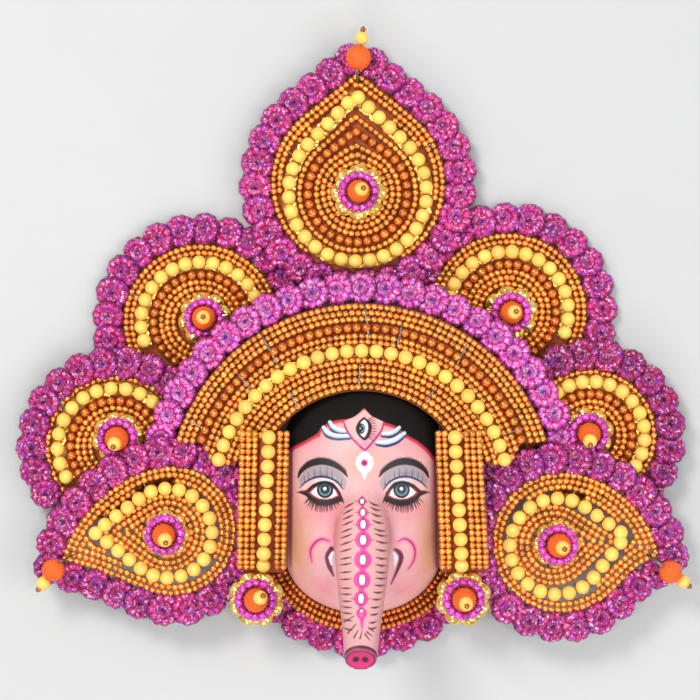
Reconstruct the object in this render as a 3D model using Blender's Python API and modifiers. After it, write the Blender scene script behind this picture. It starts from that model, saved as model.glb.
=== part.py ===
"""Festival dance mask of an elephant-headed deity, lying on its back.

A hollow papier-mache face with a trunk, and a crown of round and leaf-shaped
panels strung with beads, each bordered by foil rosettes.
X runs to the mask's left as seen by a viewer (picture right), Y runs up to the
crown's point, Z runs out of the face. Lengths below are millimetres.
"""

import math

import bmesh
import bpy
from mathutils import Matrix, Vector

MM = 0.001
CENTRING = (-1.1, 3.0, 0.0)  # puts the middle of the whole mask over the origin

# ---- beads ---------------------------------------------------------------
SMALL = 3.3  # small copper bead, also the thickness of a copper band
BIG = 7.8  # round yellow bead
GAP = 0.3  # between pieces that touch
BOARD = 2.0  # card behind a panel
ROSETTE_R = 8.2  # foil rosette
ROSETTE_PITCH = 13.3
ROSETTE_T = 3.4

# ---- face ----------------------------------------------------------------
FACE_X = 5.5
BROW_Y, BROW_A, BROW_B = -62.5, 44.0, 41.0  # half ellipse over the hair
JAW_Y, JAW_A, JAW_B = -118.8, 43.0, 33.2  # half ellipse round the chin
FACE_MID = (FACE_X, -88.0)
WALL = 3.6
SIDE_Z, FRONT_Z = 18.0, 55.0
TRUNK = [  # y, z, radius along the middle of the trunk
    (-84.0, 46.0, 9.0),
    (-95.0, 52.0, 13.2),
    (-109.0, 59.0, 15.0),
    (-121.0, 66.0, 14.2),
    (-132.0, 74.0, 12.8),
    (-143.0, 83.0, 11.2),
    (-152.0, 91.5, 9.9),
    (-159.0, 98.6, 9.1),
    (-164.8, 105.0, 8.6),
]
TRUNK_X = (5.6, 3.9)  # root and tip

# ---- arch over the face: a shallow cone, cut off level at both ends --------
ARCH_C = (4.8, -87.8)
ARCH_IN, ARCH_OUT = 57.2, 106.4
ARCH_Z_IN, ARCH_Z_OUT = 37.6, 21.2  # underside of the card
ARCH_CUT_Y = -54.4
ARCH_ROWS_OUT = (85.2, 106.2)
ARCH_ROWS_IN = (58.2, 76.2)
ARCH_YELLOW_R = 80.7
ARCH_ROSETTE_R, ARCH_ROSETTE_Z = 115.8, 19.4

# ---- top panel, a drop with its point up ----------------------------------
TOP_C, TOP_R, TOP_TIP = (2.9, 85.3), 48.6, (2.9, 147.5)
TOP_Z = 6.0
TOP_YELLOW_R, TOP_YELLOW_TIP = 38.2, (1.6, 134.2)
TOP_YELLOW_C = (2.7, 80.3)
TOP_IN_R, TOP_IN_TIP = 33.6, (1.4, 124.5)

# ---- round petals: centre, outer radius, card underside, band width,
#      yellow radius, its first and last angle, inner band, rosette circle,
#      first and last rosette angle, boss place ------------------------------
PETALS = {
    "upper_left": ((-84.5, 8.6), 43.6, 0.0, 6.2, 33.3, 12.0, 198.0, 28.9, 52.6, 14.0, 206.0, (-82.3, 10.6)),
    "upper_right": ((86.5, 14.2), 44.2, 0.0, 6.2, 33.6, -20.0, 166.0, 29.2, 52.8, -28.0, 152.0, (87.7, 13.6)),
    "middle_left": ((-131.1, -60.2), 39.5, 8.4, 3.3, 32.1, 50.0, 212.0, 27.7, 46.6, 50.0, 214.0, (-129.6, -55.6)),
    "middle_right": ((131.4, -54.3), 37.0, 8.4, 3.0, 30.0, -34.0, 128.0, 25.6, 45.4, -44.0, 130.0, (129.8, -53.0)),
}
PETAL_HOLE = 12.6  # inner edge of the inner band

# ---- leaf-shaped ear panels: round part, point, and how they lean ----------
EARS = {
    "left": {"c": (-98.9, -106.0), "z": 23.4, "side": -1,
             "out": (36.0, (-160.5, -123.6)),
             "yellow": (24.4, (-101.2, -107.2), (-141.5, -107.0)),
             "inner": (18.4, (-101.6, -106.9), (-134.6, -105.9)),
             "boss": (-102.1, -107.6)},
    "right": {"c": (114.4, -112.4), "z": 23.4, "side": 1,
              "out": (39.0, (168.8, -121.4)),
              "yellow": (26.2, (112.0, -114.4), (149.6, -108.8)),
              "inner": (19.4, (109.6, -113.7), (141.0, -110.6)),
              "boss": (111.4, -113.2)},
}
EAR_LEAN = 4.0  # degrees, outer point lower

# ---- bead columns beside the cheeks, and what hangs below them -------------
COLUMN_TOP_Y = -54.9
COLUMN_PATH = [(0.0, 38.6), (-30.0, 40.4), (-54.0, 40.4), (-62.0, 39.2), (-67.5, 36.6), (-71.0, 33.2)]
COLUMNS = {  # middle x at the top, drift to the bottom, width
    "left_outer": (-56.3, -1.6, 10.0),
    "left_inner": (-37.6, -2.0, 6.4),
    "right_inner": (48.0, 2.6, 6.2),
    "right_outer": (64.7, 4.2, 10.0),
}
YELLOW_COLUMNS = {"left": (-45.4, -3.0), "right": (55.2, 3.8)}
EARRINGS = {"left": (-52.6, -142.6), "right": (60.3, -142.2)}
EARRING_Z = 31.2

# ---- jaw -------------------------------------------------------------------
JAW_BAND_Z, JAW_BAND_W = 13.2, 10.4
CHIN_Z = 9.2

# ---- stack on each panel's pin: foil flower, bead ring, ball, bead, tip ----
STACK = [
    (13.6, 0.0), (13.4, 1.4), (12.0, 3.0), (9.8, 5.2), (6.2, 4.6),
    (6.3, 9.0), (3.0, 13.9), (4.1, 17.6), (2.9, 21.0), (1.5, 23.0), (1.3, 24.8),
]
BEAD_R, TIP_R = 3.9, 1.6


# ---------------------------------------------------------------------------
# scene, materials
# ---------------------------------------------------------------------------
for old in list(bpy.data.objects):
    bpy.data.objects.remove(old, do_unlink=True)

PARTS = bpy.data.collections.new("ganesha_mask")
CUTTERS = bpy.data.collections.new("cutters")
bpy.context.scene.collection.children.link(PARTS)
bpy.context.scene.collection.children.link(CUTTERS)


def material(name, colour, roughness, metallic=0.0):
    made = bpy.data.materials.new(name)
    made.use_nodes = True
    shader = made.node_tree.nodes["Principled BSDF"]
    shader.inputs["Base Color"].default_value = (*colour, 1.0)
    shader.inputs["Roughness"].default_value = roughness
    shader.inputs["Metallic"].default_value = metallic
    made.diffuse_color = (*colour, 1.0)
    return made


LOOKS = {
    "papier_mache": ((0.80, 0.50, 0.46), 0.45, 0.0),
    "card": ((0.16, 0.03, 0.03), 0.85, 0.0),
    "copper": ((0.55, 0.24, 0.06), 0.25, 0.8),
    "yellow": ((0.90, 0.55, 0.13), 0.45, 0.0),
    "foil": ((0.55, 0.08, 0.42), 0.22, 0.6),
    "gold": ((0.80, 0.62, 0.22), 0.18, 0.9),
}


def finish(obj, look, name, collection=PARTS, parent=None):
    colour, roughness, metallic = LOOKS[look]
    obj.name = name
    obj.data.name = name
    obj.data.materials.append(material(name + "_" + look, colour, roughness, metallic))
    if not obj.users_collection:
        collection.objects.link(obj)
    obj.parent = parent or ROOT
    return obj


def empty(name, place, turn=(0.0, 0.0, 0.0), parent=None):
    obj = bpy.data.objects.new(name, None)
    obj.location = [v * MM for v in place]
    obj.rotation_euler = [math.radians(v) for v in turn]
    obj.parent = parent
    PARTS.objects.link(obj)
    return obj


ROOT = empty("mask", CENTRING)


# ---------------------------------------------------------------------------
# plane outlines
# ---------------------------------------------------------------------------
def arc(centre, r, a0, a1, steps, ry=None):
    ry = r if ry is None else ry
    turns = [math.radians(a0 + (a1 - a0) * i / steps) for i in range(steps + 1)]
    return [(centre[0] + r * math.cos(t), centre[1] + ry * math.sin(t)) for t in turns]


def ring(centre, r, steps):
    return arc(centre, r, 0.0, 360.0, steps)[:-1]


def drop(centre, r, tip, steps):
    """Circle with two straight flanks that meet in a point."""
    dx, dy = tip[0] - centre[0], tip[1] - centre[1]
    aim = math.degrees(math.atan2(dy, dx))
    half = math.degrees(math.acos(min(1.0, r / math.hypot(dx, dy))))
    return arc(centre, r, aim + half, aim + 360.0 - half, steps) + [tip]


def flank(p0, h0, h1, p1, steps):
    """Inner points of one cubic curve."""
    found = []
    for i in range(1, steps):
        t = i / steps
        w = ((1 - t) ** 3, 3 * t * (1 - t) ** 2, 3 * t * t * (1 - t), t ** 3)
        found.append(tuple(sum(a * p[k] for a, p in zip(w, (p0, h0, h1, p1))) for k in (0, 1)))
    return found


def leaf(centre, r, tip, side, steps, belly=30.0, hook=17.0):
    """Circle drawn out to a hooked point: full above, slightly hollow below.
    side is -1 where the point lies on the -X side."""
    up, low = (80.0, -68.0) if side > 0 else (100.0, 248.0)
    far = 360.0 - (up - low) if side > 0 else None
    if side > 0:
        body = arc(centre, r, up, up + far, steps)
    else:
        body = arc(centre, r, up, up - (360.0 - (low - up)), steps)
    top, bottom = body[0], body[-1]
    rises = (tip[0] - 0.12 * side * hook, tip[1] + hook)
    level = (tip[0] - side * hook, tip[1] - 0.1 * hook)
    leave = (bottom[0] + side * belly * 0.62 * math.cos(math.radians(20)), bottom[1] + belly * 0.62 * math.sin(math.radians(20)))
    reach = (top[0] + side * belly, top[1] - 0.17 * belly)
    below = flank(bottom, leave, level, tip, 4)
    above = flank(tip, rises, reach, top, 5)
    return body + below + [tip] + above


def area(loop):
    return 0.5 * sum(a[0] * b[1] - b[0] * a[1] for a, b in zip(loop, loop[1:] + loop[:1]))


def offset(loop, by):
    """The closed loop moved outwards by a distance, with mitred corners."""
    sign = 1.0 if area(loop) > 0 else -1.0
    moved = []
    for i, here in enumerate(loop):
        before, after = Vector(loop[i - 1]), Vector(loop[(i + 1) % len(loop)])
        d0, d1 = (Vector(here) - before).normalized(), (after - Vector(here)).normalized()
        n0, n1 = Vector((d0.y, -d0.x)) * sign, Vector((d1.y, -d1.x)) * sign
        middle = (n0 + n1).normalized()
        moved.append(tuple(Vector(here) + middle * (by / max(0.45, middle.dot(n0)))))
    return moved


def spaced(loop, pitch, closed=True):
    """Points along an outline, evenly spaced, with outward normals."""
    sign = 1.0 if area(loop) > 0 else -1.0
    points = [Vector(p) for p in loop] + ([Vector(loop[0])] if closed else [])
    lengths = [(b - a).length for a, b in zip(points, points[1:])]
    total = sum(lengths)
    count = max(2, round(total / pitch))
    found = []
    for i in range(count if closed else count + 1):
        left = total * i / count
        for a, b, length in zip(points, points[1:], lengths):
            if left <= length + 1e-9:
                along = (b - a).normalized()
                found.append((a + along * left, Vector((along.y, -along.x)) * sign))
                break
            left -= length
    return found


# ---------------------------------------------------------------------------
# solids
# ---------------------------------------------------------------------------
def plate(name, loops, z0, z1, look, parent=None):
    """A flat piece: a filled 2D outline, with a hole for each further loop."""
    data = bpy.data.curves.new(name, "CURVE")
    data.dimensions = "2D"
    data.fill_mode = "BOTH"
    data.extrude = 0.5 * (z1 - z0) * MM
    for loop in loops:
        line = data.splines.new("POLY")
        line.points.add(len(loop) - 1)
        for point, (x, y) in zip(line.points, loop):
            point.co = (x * MM, y * MM, 0.0, 1.0)
        line.use_cyclic_u = True
    obj = bpy.data.objects.new(name, data)
    obj.location.z = 0.5 * (z0 + z1) * MM
    return finish(obj, look, name, parent=parent)


def strand(name, path, r, look, closed=False, parent=None):
    """A string of round beads, as the round rod that it fills."""
    data = bpy.data.curves.new(name, "CURVE")
    data.dimensions = "3D"
    data.bevel_depth = r * MM
    data.bevel_resolution = 1
    data.use_fill_caps = not closed
    line = data.splines.new("POLY")
    line.points.add(len(path) - 1)
    for point, place in zip(line.points, path):
        point.co = (place[0] * MM, place[1] * MM, place[2] * MM, 1.0)
    line.use_cyclic_u = closed
    obj = bpy.data.objects.new(name, data)
    return finish(obj, look, name, parent=parent)


def scallops(path):
    """The outer edge of a row of round rosettes, three points to each."""
    ahead = (path[1][0] - path[0][0]).normalized()
    side = 1.0 if ahead.cross(path[0][1]) > 0 else -1.0
    found = []
    for place, normal in path:
        for turn in (48.0 * side, 0.0, -48.0 * side):
            found.append(tuple(place + ROSETTE_R * (Matrix.Rotation(math.radians(turn), 2) @ normal)))
    return found


def rosettes(name, path, closed, z0, z1, parent=None, inner=None):
    """A border of overlapping foil rosettes: a strip with a scalloped edge."""
    outer = scallops(path)
    if closed:
        return plate(name, [outer, inner], z0, z1, "foil", parent)
    back = [tuple(place - normal * inner) for place, normal in reversed(path)]
    return plate(name, [outer + back], z0, z1, "foil", parent)


def arc_path(centre, r, a0, a1):
    count = round(abs(math.radians(a1 - a0)) * r / ROSETTE_PITCH)
    found = []
    for i in range(count + 1):
        turn = math.radians(a1 + (a0 - a1) * i / count)
        normal = Vector((math.cos(turn), math.sin(turn)))
        found.append((Vector(centre) + r * normal, normal))
    return found


def turned(profile, steps):
    """A bmesh turned about Z from (radius, height) pairs, bottom to top."""
    bm = bmesh.new()
    verts = [bm.verts.new((0.0, 0.0, profile[0][1] * MM))]
    verts += [bm.verts.new((r * MM, 0.0, z * MM)) for r, z in profile]
    verts.append(bm.verts.new((0.0, 0.0, (profile[-1][1] + 0.8) * MM)))
    edges = [bm.edges.new(pair) for pair in zip(verts, verts[1:])]
    bmesh.ops.spin(bm, geom=verts + edges, axis=(0, 0, 1), cent=(0, 0, 0),
                   angle=math.tau, steps=steps, use_merge=False, use_duplicate=False)
    bmesh.ops.remove_doubles(bm, verts=bm.verts, dist=0.00002)
    bmesh.ops.recalc_face_normals(bm, faces=bm.faces)
    return bm


def meshed(bm, name, look, parent=None):
    data = bpy.data.meshes.new(name)
    bm.to_mesh(data)
    bm.free()
    obj = bpy.data.objects.new(name, data)
    data.shade_smooth()
    data.set_sharp_from_angle(angle=math.radians(40))
    return finish(obj, look, name, parent=parent)


def boss(name, place, lean, parent=None):
    """Foil flower, bead ring, ball, bead and tip on one pin that leans."""
    bm = turned(STACK, 8)
    for vert in bm.verts:
        rise = max(0.0, vert.co.z / MM - 9.0)
        vert.co.x += lean[0] * rise / 10.0 * MM
        vert.co.y += lean[1] * rise / 10.0 * MM
    obj = meshed(bm, name, "gold", parent)
    obj.location = [v * MM for v in place]
    return obj


def finial(name, ball, start, aim, parent=None):
    """Ball, bead and tip in line, pointing outwards in the panel's plane."""
    reach = ball + BEAD_R
    profile = [
        (0.55 * ball, -0.84 * ball), (ball, -0.2 * ball), (0.96 * ball, 0.3 * ball),
        (0.5 * ball, 0.87 * ball), (BEAD_R, reach - 0.4 * BEAD_R), (BEAD_R, reach + 0.3 * BEAD_R),
        (TIP_R, reach + 0.92 * BEAD_R), (TIP_R, reach + BEAD_R + 1.6),
    ]
    obj = meshed(turned(profile, 8), name, "gold", parent)
    obj.location = [v * MM for v in start]
    obj.rotation_euler = Vector(aim).to_track_quat("Z", "Y").to_euler()
    return obj


# ---- card, copper band and rosettes of one petal ---------------------------
for side, (centre, r, z, band, yellow, y0, y1, inner, border, b0, b1, place) in PETALS.items():
    hub = empty("petal_" + side, (*centre, z), parent=ROOT)
    top = BOARD + GAP
    plate(side + "_card", [ring((0, 0), r + 1.2, 20)], 0.0, BOARD, "card", hub)
    plate(side + "_rows_outer", [ring((0, 0), r, 20), ring((0, 0), r - band, 20)], top, top + SMALL, "copper", hub)
    plate(side + "_rows_inner", [ring((0, 0), inner, 16), ring((0, 0), PETAL_HOLE, 12)], top, top + SMALL, "copper", hub)
    beads = arc((0, 0), yellow, y0, y1, 9)
    strand(side + "_yellow_string", [(x, y, top + BIG / 2) for x, y in beads], BIG / 2 - 0.1, "yellow", parent=hub)
    rosettes(side + "_rosettes", arc_path((0, 0), border, b0, b1), False, top, top + ROSETTE_T, hub, border - r - 0.5)

# ---- top panel -------------------------------------------------------------
top_hub = empty("panel_top", (0, 0, TOP_Z), parent=ROOT)
level = BOARD + GAP
outline = drop(TOP_C, TOP_R, TOP_TIP, 20)
plate("top_card", [offset(outline, 1.2)], 0.0, BOARD, "card", top_hub)
yellow_drop = drop(TOP_YELLOW_C, TOP_YELLOW_R, TOP_YELLOW_TIP, 15)
plate("top_rows_outer", [outline, offset(yellow_drop, BIG / 2 + 0.3)], level, level + SMALL, "copper", top_hub)
strand("top_yellow_string", [(x, y, level + BIG / 2) for x, y in yellow_drop], BIG / 2 - 0.1, "yellow", True, top_hub)
plate("top_rows_inner", [drop(TOP_YELLOW_C, TOP_IN_R, TOP_IN_TIP, 15), ring(TOP_YELLOW_C, PETAL_HOLE, 12)],
      level, level + SMALL, "copper", top_hub)
around = spaced(offset(outline, 8.7), ROSETTE_PITCH)
rosettes("top_rosettes", around, True, level, level + ROSETTE_T, top_hub, offset(outline, 0.6))
finial("top_finial", 6.9, (3.2, 153.9, 19.2), (0.16, 1.0, 0.03))

# ---- ear panels, open bead work without a card -------------------------------
for side, ear in EARS.items():
    cx, cy = ear["c"]
    hub = empty("ear_" + side, (cx, cy, ear["z"]), (0.0, EAR_LEAN * ear["side"], 0.0), ROOT)
    local = lambda p: (p[0] - cx, p[1] - cy)
    outline = leaf((0, 0), ear["out"][0], local(ear["out"][1]), ear["side"], 16)
    r, c, tip = ear["yellow"]
    loop = drop(local(c), r, local(tip), 13)
    plate("ear_" + side + "_rows_outer", [offset(outline, -0.2), offset(loop, BIG / 2 + 0.3)], 0.0, SMALL, "copper", hub)
    strand("ear_" + side + "_yellow_string", [(x, y, BIG / 2) for x, y in loop], BIG / 2 - 0.1, "yellow", True, hub)
    r, c, tip = ear["inner"]
    plate("ear_" + side + "_rows_inner", [drop(local(c), r, local(tip), 14), ring(local(c), 11.4, 12)],
          0.0, SMALL, "copper", hub)
    around = spaced(offset(outline, 7.4), ROSETTE_PITCH)
    rosettes("ear_" + side + "_rosettes", around, True, 0.0, ROSETTE_T, hub, offset(outline, 0.4))

finial("ear_left_finial", 6.2, (-163.4, -127.1, 29.6), (-0.62, -0.78, -0.34))
finial("ear_right_finial", 6.2, (173.4, -128.1, 29.6), (0.80, -0.60, -0.40))

# ---- arch ------------------------------------------------------------------
cut_data = bpy.data.meshes.new("arch_cut")
cut_bm = bmesh.new()
bmesh.ops.create_cube(cut_bm, size=1.0)
bmesh.ops.scale(cut_bm, vec=(0.3, 0.2, 0.12), verts=cut_bm.verts)
cut_bm.to_mesh(cut_data)
cut_bm.free()
arch_cut = bpy.data.objects.new("arch_cut", cut_data)
arch_cut.location = (ARCH_C[0] * MM, ARCH_CUT_Y * MM - 0.1, 0.03)
arch_cut.hide_render = True
arch_cut.display_type = "WIRE"
arch_cut.parent = ROOT
CUTTERS.objects.link(arch_cut)


def arch_z(r):
    """Underside of the arch's card at a radius."""
    return ARCH_Z_OUT + (ARCH_OUT - r) * (ARCH_Z_IN - ARCH_Z_OUT) / (ARCH_OUT - ARCH_IN)


def arch_piece(name, r0, r1, low, high, look):
    """A conical ring from r0 to r1 between two heights over the card's underside."""
    data = bpy.data.meshes.new(name)
    bm = bmesh.new()
    corners = [(r1, arch_z(r1) + high), (r1, arch_z(r1) + low), (r0, arch_z(r0) + low), (r0, arch_z(r0) + high)]
    verts = [bm.verts.new((r * MM, 0.0, z * MM)) for r, z in corners]
    for i in range(4):
        bm.edges.new((verts[i], verts[(i + 1) % 4]))
    bm.to_mesh(data)
    bm.free()
    obj = bpy.data.objects.new(name, data)
    obj.location = (ARCH_C[0] * MM, ARCH_C[1] * MM, 0.0)
    turn = obj.modifiers.new("turn", "SCREW")
    turn.steps = turn.render_steps = 40
    turn.use_merge_vertices = True
    turn.merge_threshold = 0.00005
    trim = obj.modifiers.new("trim", "BOOLEAN")
    trim.object = arch_cut
    return finish(obj, look, name)


arch_piece("arch_card", ARCH_IN, ARCH_OUT, 0.0, BOARD, "card")
arch_piece("arch_rows_outer", *ARCH_ROWS_OUT, BOARD + GAP, BOARD + GAP + SMALL, "copper")
arch_piece("arch_rows_inner", *ARCH_ROWS_IN, BOARD + GAP, BOARD + GAP + SMALL, "copper")
end = math.degrees(math.asin((ARCH_CUT_Y - ARCH_C[1] + 1.2) / ARCH_YELLOW_R))
rise = arch_z(ARCH_YELLOW_R) + BOARD + GAP + BIG / 2 + 0.2
strand("arch_yellow_string", [(x, y, rise) for x, y in arc(ARCH_C, ARCH_YELLOW_R, end, 180.0 - end, 20)],
       BIG / 2 - 0.1, "yellow")
rosettes("arch_rosettes", arc_path(ARCH_C, ARCH_ROSETTE_R, 22.0, 158.0), False,
         ARCH_ROSETTE_Z, ARCH_ROSETTE_Z + ROSETTE_T, inner=ARCH_ROSETTE_R - ARCH_OUT - 0.5)

# ---- bead columns ----------------------------------------------------------
STAND = Matrix(((0, 0, 1, 0), (1, 0, 0, 0), (0, 1, 0, 0), (0, 0, 0, 1)))  # plane outline stood up along Y and Z


def column(name, x, drift, width):
    """Strings side by side: the hanging path, thickened and made as wide."""
    half = SMALL / 2
    front, back = [], []
    for i, here in enumerate(COLUMN_PATH):
        before, after = Vector(COLUMN_PATH[max(0, i - 1)]), Vector(COLUMN_PATH[min(len(COLUMN_PATH) - 1, i + 1)])
        along = (after - before).normalized()
        normal = Vector((along.y, -along.x))
        front.append(tuple(Vector(here) - normal * half))
        back.append(tuple(Vector(here) + normal * half))
    obj = plate(name, [front + back[::-1]], -width / 2, width / 2, "copper")
    swing = Matrix.Rotation(math.atan2(drift, -COLUMN_PATH[-1][0]), 4, "Z")
    obj.matrix_basis = Matrix.Translation((x * MM, COLUMN_TOP_Y * MM, 0.0)) @ swing @ STAND
    return obj


for name, (x, drift, width) in COLUMNS.items():
    column("column_" + name, x, drift, width)
for side, (x, drift) in YELLOW_COLUMNS.items():
    last = COLUMN_PATH[-1][0] + 4.4
    path = []
    for run, z in COLUMN_PATH:
        run = max(run, last) - 1.2
        path.append((x + drift * run / last, COLUMN_TOP_Y + run, z + 0.5))
    strand("column_" + side + "_yellow_string", path, BIG / 2 - 0.1, "yellow")

# ---- jaw -------------------------------------------------------------------
def jaw_arc(out, a0, a1, steps):
    return arc((FACE_X, JAW_Y), JAW_A + out, a0, a1, steps, JAW_B + out)


plate("jaw_rows", [jaw_arc(JAW_BAND_W + 0.4, 196.0, 344.0, 16) + jaw_arc(0.5, 344.0, 196.0, 16)],
      JAW_BAND_Z, JAW_BAND_Z + SMALL, "copper")
chin = []
for place in spaced(jaw_arc(16.4, 338.0, 202.0, 30), ROSETTE_PITCH, False):
    here = place[0]
    chin.append((here, Vector((here.x - FACE_X, (here.y - JAW_Y) * 1.25)).normalized()))
plate("chin_rosettes", [scallops(chin) + jaw_arc(0.6, 202.0, 338.0, 14)], CHIN_Z, CHIN_Z + ROSETTE_T, "foil")


# ---- face with its trunk, one hollow shell ---------------------------------
def face_edge(turn):
    """Distance from the middle of the face to its edge, in one direction."""
    dx, dy = math.cos(turn), math.sin(turn)
    low, high = 0.0, 160.0
    for _ in range(40):
        far = 0.5 * (low + high)
        x, y = far * dx, FACE_MID[1] + far * dy
        if y > BROW_Y:
            inside = (x / BROW_A) ** 2 + ((y - BROW_Y) / BROW_B) ** 2 < 1.0
        elif y < JAW_Y:
            inside = (x / JAW_A) ** 2 + ((y - JAW_Y) / JAW_B) ** 2 < 1.0
        else:
            inside = abs(x) < JAW_A + (BROW_A - JAW_A) * (y - JAW_Y) / (BROW_Y - JAW_Y)
        low, high = (far, high) if inside else (low, far)
    return low


FEATURES = [  # x from the middle, y, height, spread in x and y
    (0.0, -58.0, 2.0, 20.0, 12.0),
    (-21.0, -84.0, -2.4, 9.0, 7.0),
    (21.0, -84.0, -2.4, 9.0, 7.0),
    (-21.0, -116.0, 3.4, 13.0, 15.0),
    (21.0, -116.0, 3.4, 13.0, 15.0),
    (0.0, -92.0, 3.0, 8.0, 14.0),
]


def dome(inset, foot):
    """The face as a closed solid, shrunk by inset, standing on height foot."""
    bm = bmesh.new()
    around = 26
    rings = []
    for share in (1.0, 1.0, 0.97, 0.9, 0.78, 0.62, 0.44, 0.24):
        loop = []
        for i in range(around):
            turn = math.tau * i / around
            reach = share * (face_edge(turn) - inset)
            x, y = reach * math.cos(turn), FACE_MID[1] + reach * math.sin(turn)
            z = SIDE_Z + (FRONT_Z - SIDE_Z) * (1.0 - share ** 2.3) ** 0.55 - inset * (1.0 - 0.25 * share)
            for fx, fy, height, wx, wy in FEATURES:
                z += height * (1.0 - share ** 4) * math.exp(-(((x - fx) / wx) ** 2) - ((y - fy) / wy) ** 2)
            if not rings:
                z = foot
            loop.append(bm.verts.new(((FACE_X + x) * MM, y * MM, z * MM)))
        rings.append(loop)
    for lower, upper in zip(rings, rings[1:]):
        bmesh.ops.bridge_loops(bm, edges=[
            *(bm.edges.get((a, b)) or bm.edges.new((a, b)) for a, b in zip(lower, lower[1:] + lower[:1])),
            *(bm.edges.get((a, b)) or bm.edges.new((a, b)) for a, b in zip(upper, upper[1:] + upper[:1]))])
    bmesh.ops.contextual_create(bm, geom=rings[0])
    bmesh.ops.contextual_create(bm, geom=rings[-1])
    bmesh.ops.recalc_face_normals(bm, faces=bm.faces)
    return bm


def helper(obj):
    obj.hide_render = True
    obj.display_type = "WIRE"
    obj.parent = ROOT
    CUTTERS.objects.link(obj)
    return obj


face_data = bpy.data.meshes.new("face")
face_bm = dome(0.0, 0.0)
face_bm.to_mesh(face_data)
face_bm.free()
face = bpy.data.objects.new("face", face_data)

hollow_data = bpy.data.meshes.new("hollow")
hollow_bm = dome(WALL, -6.0)
hollow_bm.to_mesh(hollow_data)
hollow_bm.free()
hollow = helper(bpy.data.objects.new("hollow", hollow_data))

trunk_data = bpy.data.curves.new("trunk", "CURVE")
trunk_data.dimensions = "3D"
trunk_data.bevel_depth = MM
trunk_data.bevel_resolution = 4
trunk_data.use_fill_caps = True
trunk_line = trunk_data.splines.new("POLY")
trunk_line.points.add(len(TRUNK) - 1)
for i, (point, (y, z, r)) in enumerate(zip(trunk_line.points, TRUNK)):
    x = TRUNK_X[0] + (TRUNK_X[1] - TRUNK_X[0]) * i / (len(TRUNK) - 1)
    point.co = (x * MM, y * MM, z * MM, 1.0)
    point.radius = r
trunk_curve = bpy.data.objects.new("trunk_curve", trunk_data)
CUTTERS.objects.link(trunk_curve)
bpy.context.view_layer.update()
graph = bpy.context.evaluated_depsgraph_get()
trunk_mesh = bpy.data.meshes.new_from_object(trunk_curve.evaluated_get(graph))
trunk_bm = bmesh.new()
trunk_bm.from_mesh(trunk_mesh)
bmesh.ops.remove_doubles(trunk_bm, verts=trunk_bm.verts, dist=0.00002)
bmesh.ops.recalc_face_normals(trunk_bm, faces=trunk_bm.faces)
trunk_bm.to_mesh(trunk_mesh)
trunk_bm.free()
trunk = helper(bpy.data.objects.new("trunk", trunk_mesh))
bpy.data.objects.remove(trunk_curve, do_unlink=True)

join = face.modifiers.new("trunk", "BOOLEAN")
join.operation = "UNION"
join.object = trunk
carve = face.modifiers.new("hollow", "BOOLEAN")
carve.object = hollow
finish(face, "papier_mache", "face_shell")

# ---- bosses ----------------------------------------------------------------
over = BOARD + GAP + SMALL + GAP
LEANS = {"upper_left": (0.4, 0.4), "upper_right": (1.2, 0.3), "middle_left": (-0.3, -3.0), "middle_right": (-0.6, -4.2)}
for side, values in PETALS.items():
    boss(side + "_boss", (*values[-1], values[2] + over), LEANS[side])
boss("top_boss", (3.2, 80.3, TOP_Z + over), (1.9, 0.6))
for side, lean in (("left", (2.4, -2.2)), ("right", (0.6, -0.6))):
    place, centre = EARS[side]["boss"], EARS[side]["c"]
    tilt = math.tan(math.radians(EAR_LEAN)) * EARS[side]["side"]
    z = EARS[side]["z"] + SMALL + GAP + 0.2 - (place[0] - centre[0]) * tilt
    piece = boss("ear_" + side + "_boss", (*place, z), lean)
    piece.rotation_euler.y = math.radians(EAR_LEAN * EARS[side]["side"])
boss("earring_left", (*EARRINGS["left"], EARRING_Z), (3.4, 3.0))
boss("earring_right", (*EARRINGS["right"], EARRING_Z), (0.6, -1.4))
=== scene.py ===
import math

import bmesh
import bpy
import numpy as np
from mathutils import Matrix, Vector
from mathutils.bvhtree import BVHTree
from mathutils.geometry import tessellate_polygon


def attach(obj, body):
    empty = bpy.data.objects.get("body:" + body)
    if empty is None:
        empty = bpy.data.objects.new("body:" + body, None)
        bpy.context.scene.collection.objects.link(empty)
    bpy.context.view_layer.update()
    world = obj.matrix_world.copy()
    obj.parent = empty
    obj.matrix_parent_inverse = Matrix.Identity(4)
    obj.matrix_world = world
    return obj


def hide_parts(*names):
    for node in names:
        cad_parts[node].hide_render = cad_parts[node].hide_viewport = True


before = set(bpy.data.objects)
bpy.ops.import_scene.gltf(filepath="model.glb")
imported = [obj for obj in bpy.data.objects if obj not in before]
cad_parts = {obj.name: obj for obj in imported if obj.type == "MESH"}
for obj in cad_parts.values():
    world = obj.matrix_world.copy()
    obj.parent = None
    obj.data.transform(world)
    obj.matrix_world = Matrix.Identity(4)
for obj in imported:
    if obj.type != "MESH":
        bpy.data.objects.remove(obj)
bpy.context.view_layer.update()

MM = 0.001
SHIFT = np.array([-1.1, 3.0, 0.0])  # mask's own millimetres to the row frame

# ---------------------------------------------------------------------------
# camera numbers, also used to lay the paint on the face
# ---------------------------------------------------------------------------
EYE = (-2.6, -4.0, 1250.0)  # millimetres, row frame
FOCAL = 2236.0  # pixels, for a 700 pixel picture


def to_picture(points):
    """Picture place of points given in row millimetres."""
    depth = EYE[2] - points[:, 2]
    return 350.0 + (points[:, 0] - EYE[0]) * FOCAL / depth, 350.0 - (points[:, 1] - EYE[1]) * FOCAL / depth


def srgb(r, g, b):
    c = np.array([r, g, b], float) / 255.0
    return np.where(c <= 0.04045, c / 12.92, ((c + 0.055) / 1.055) ** 2.4)


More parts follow.
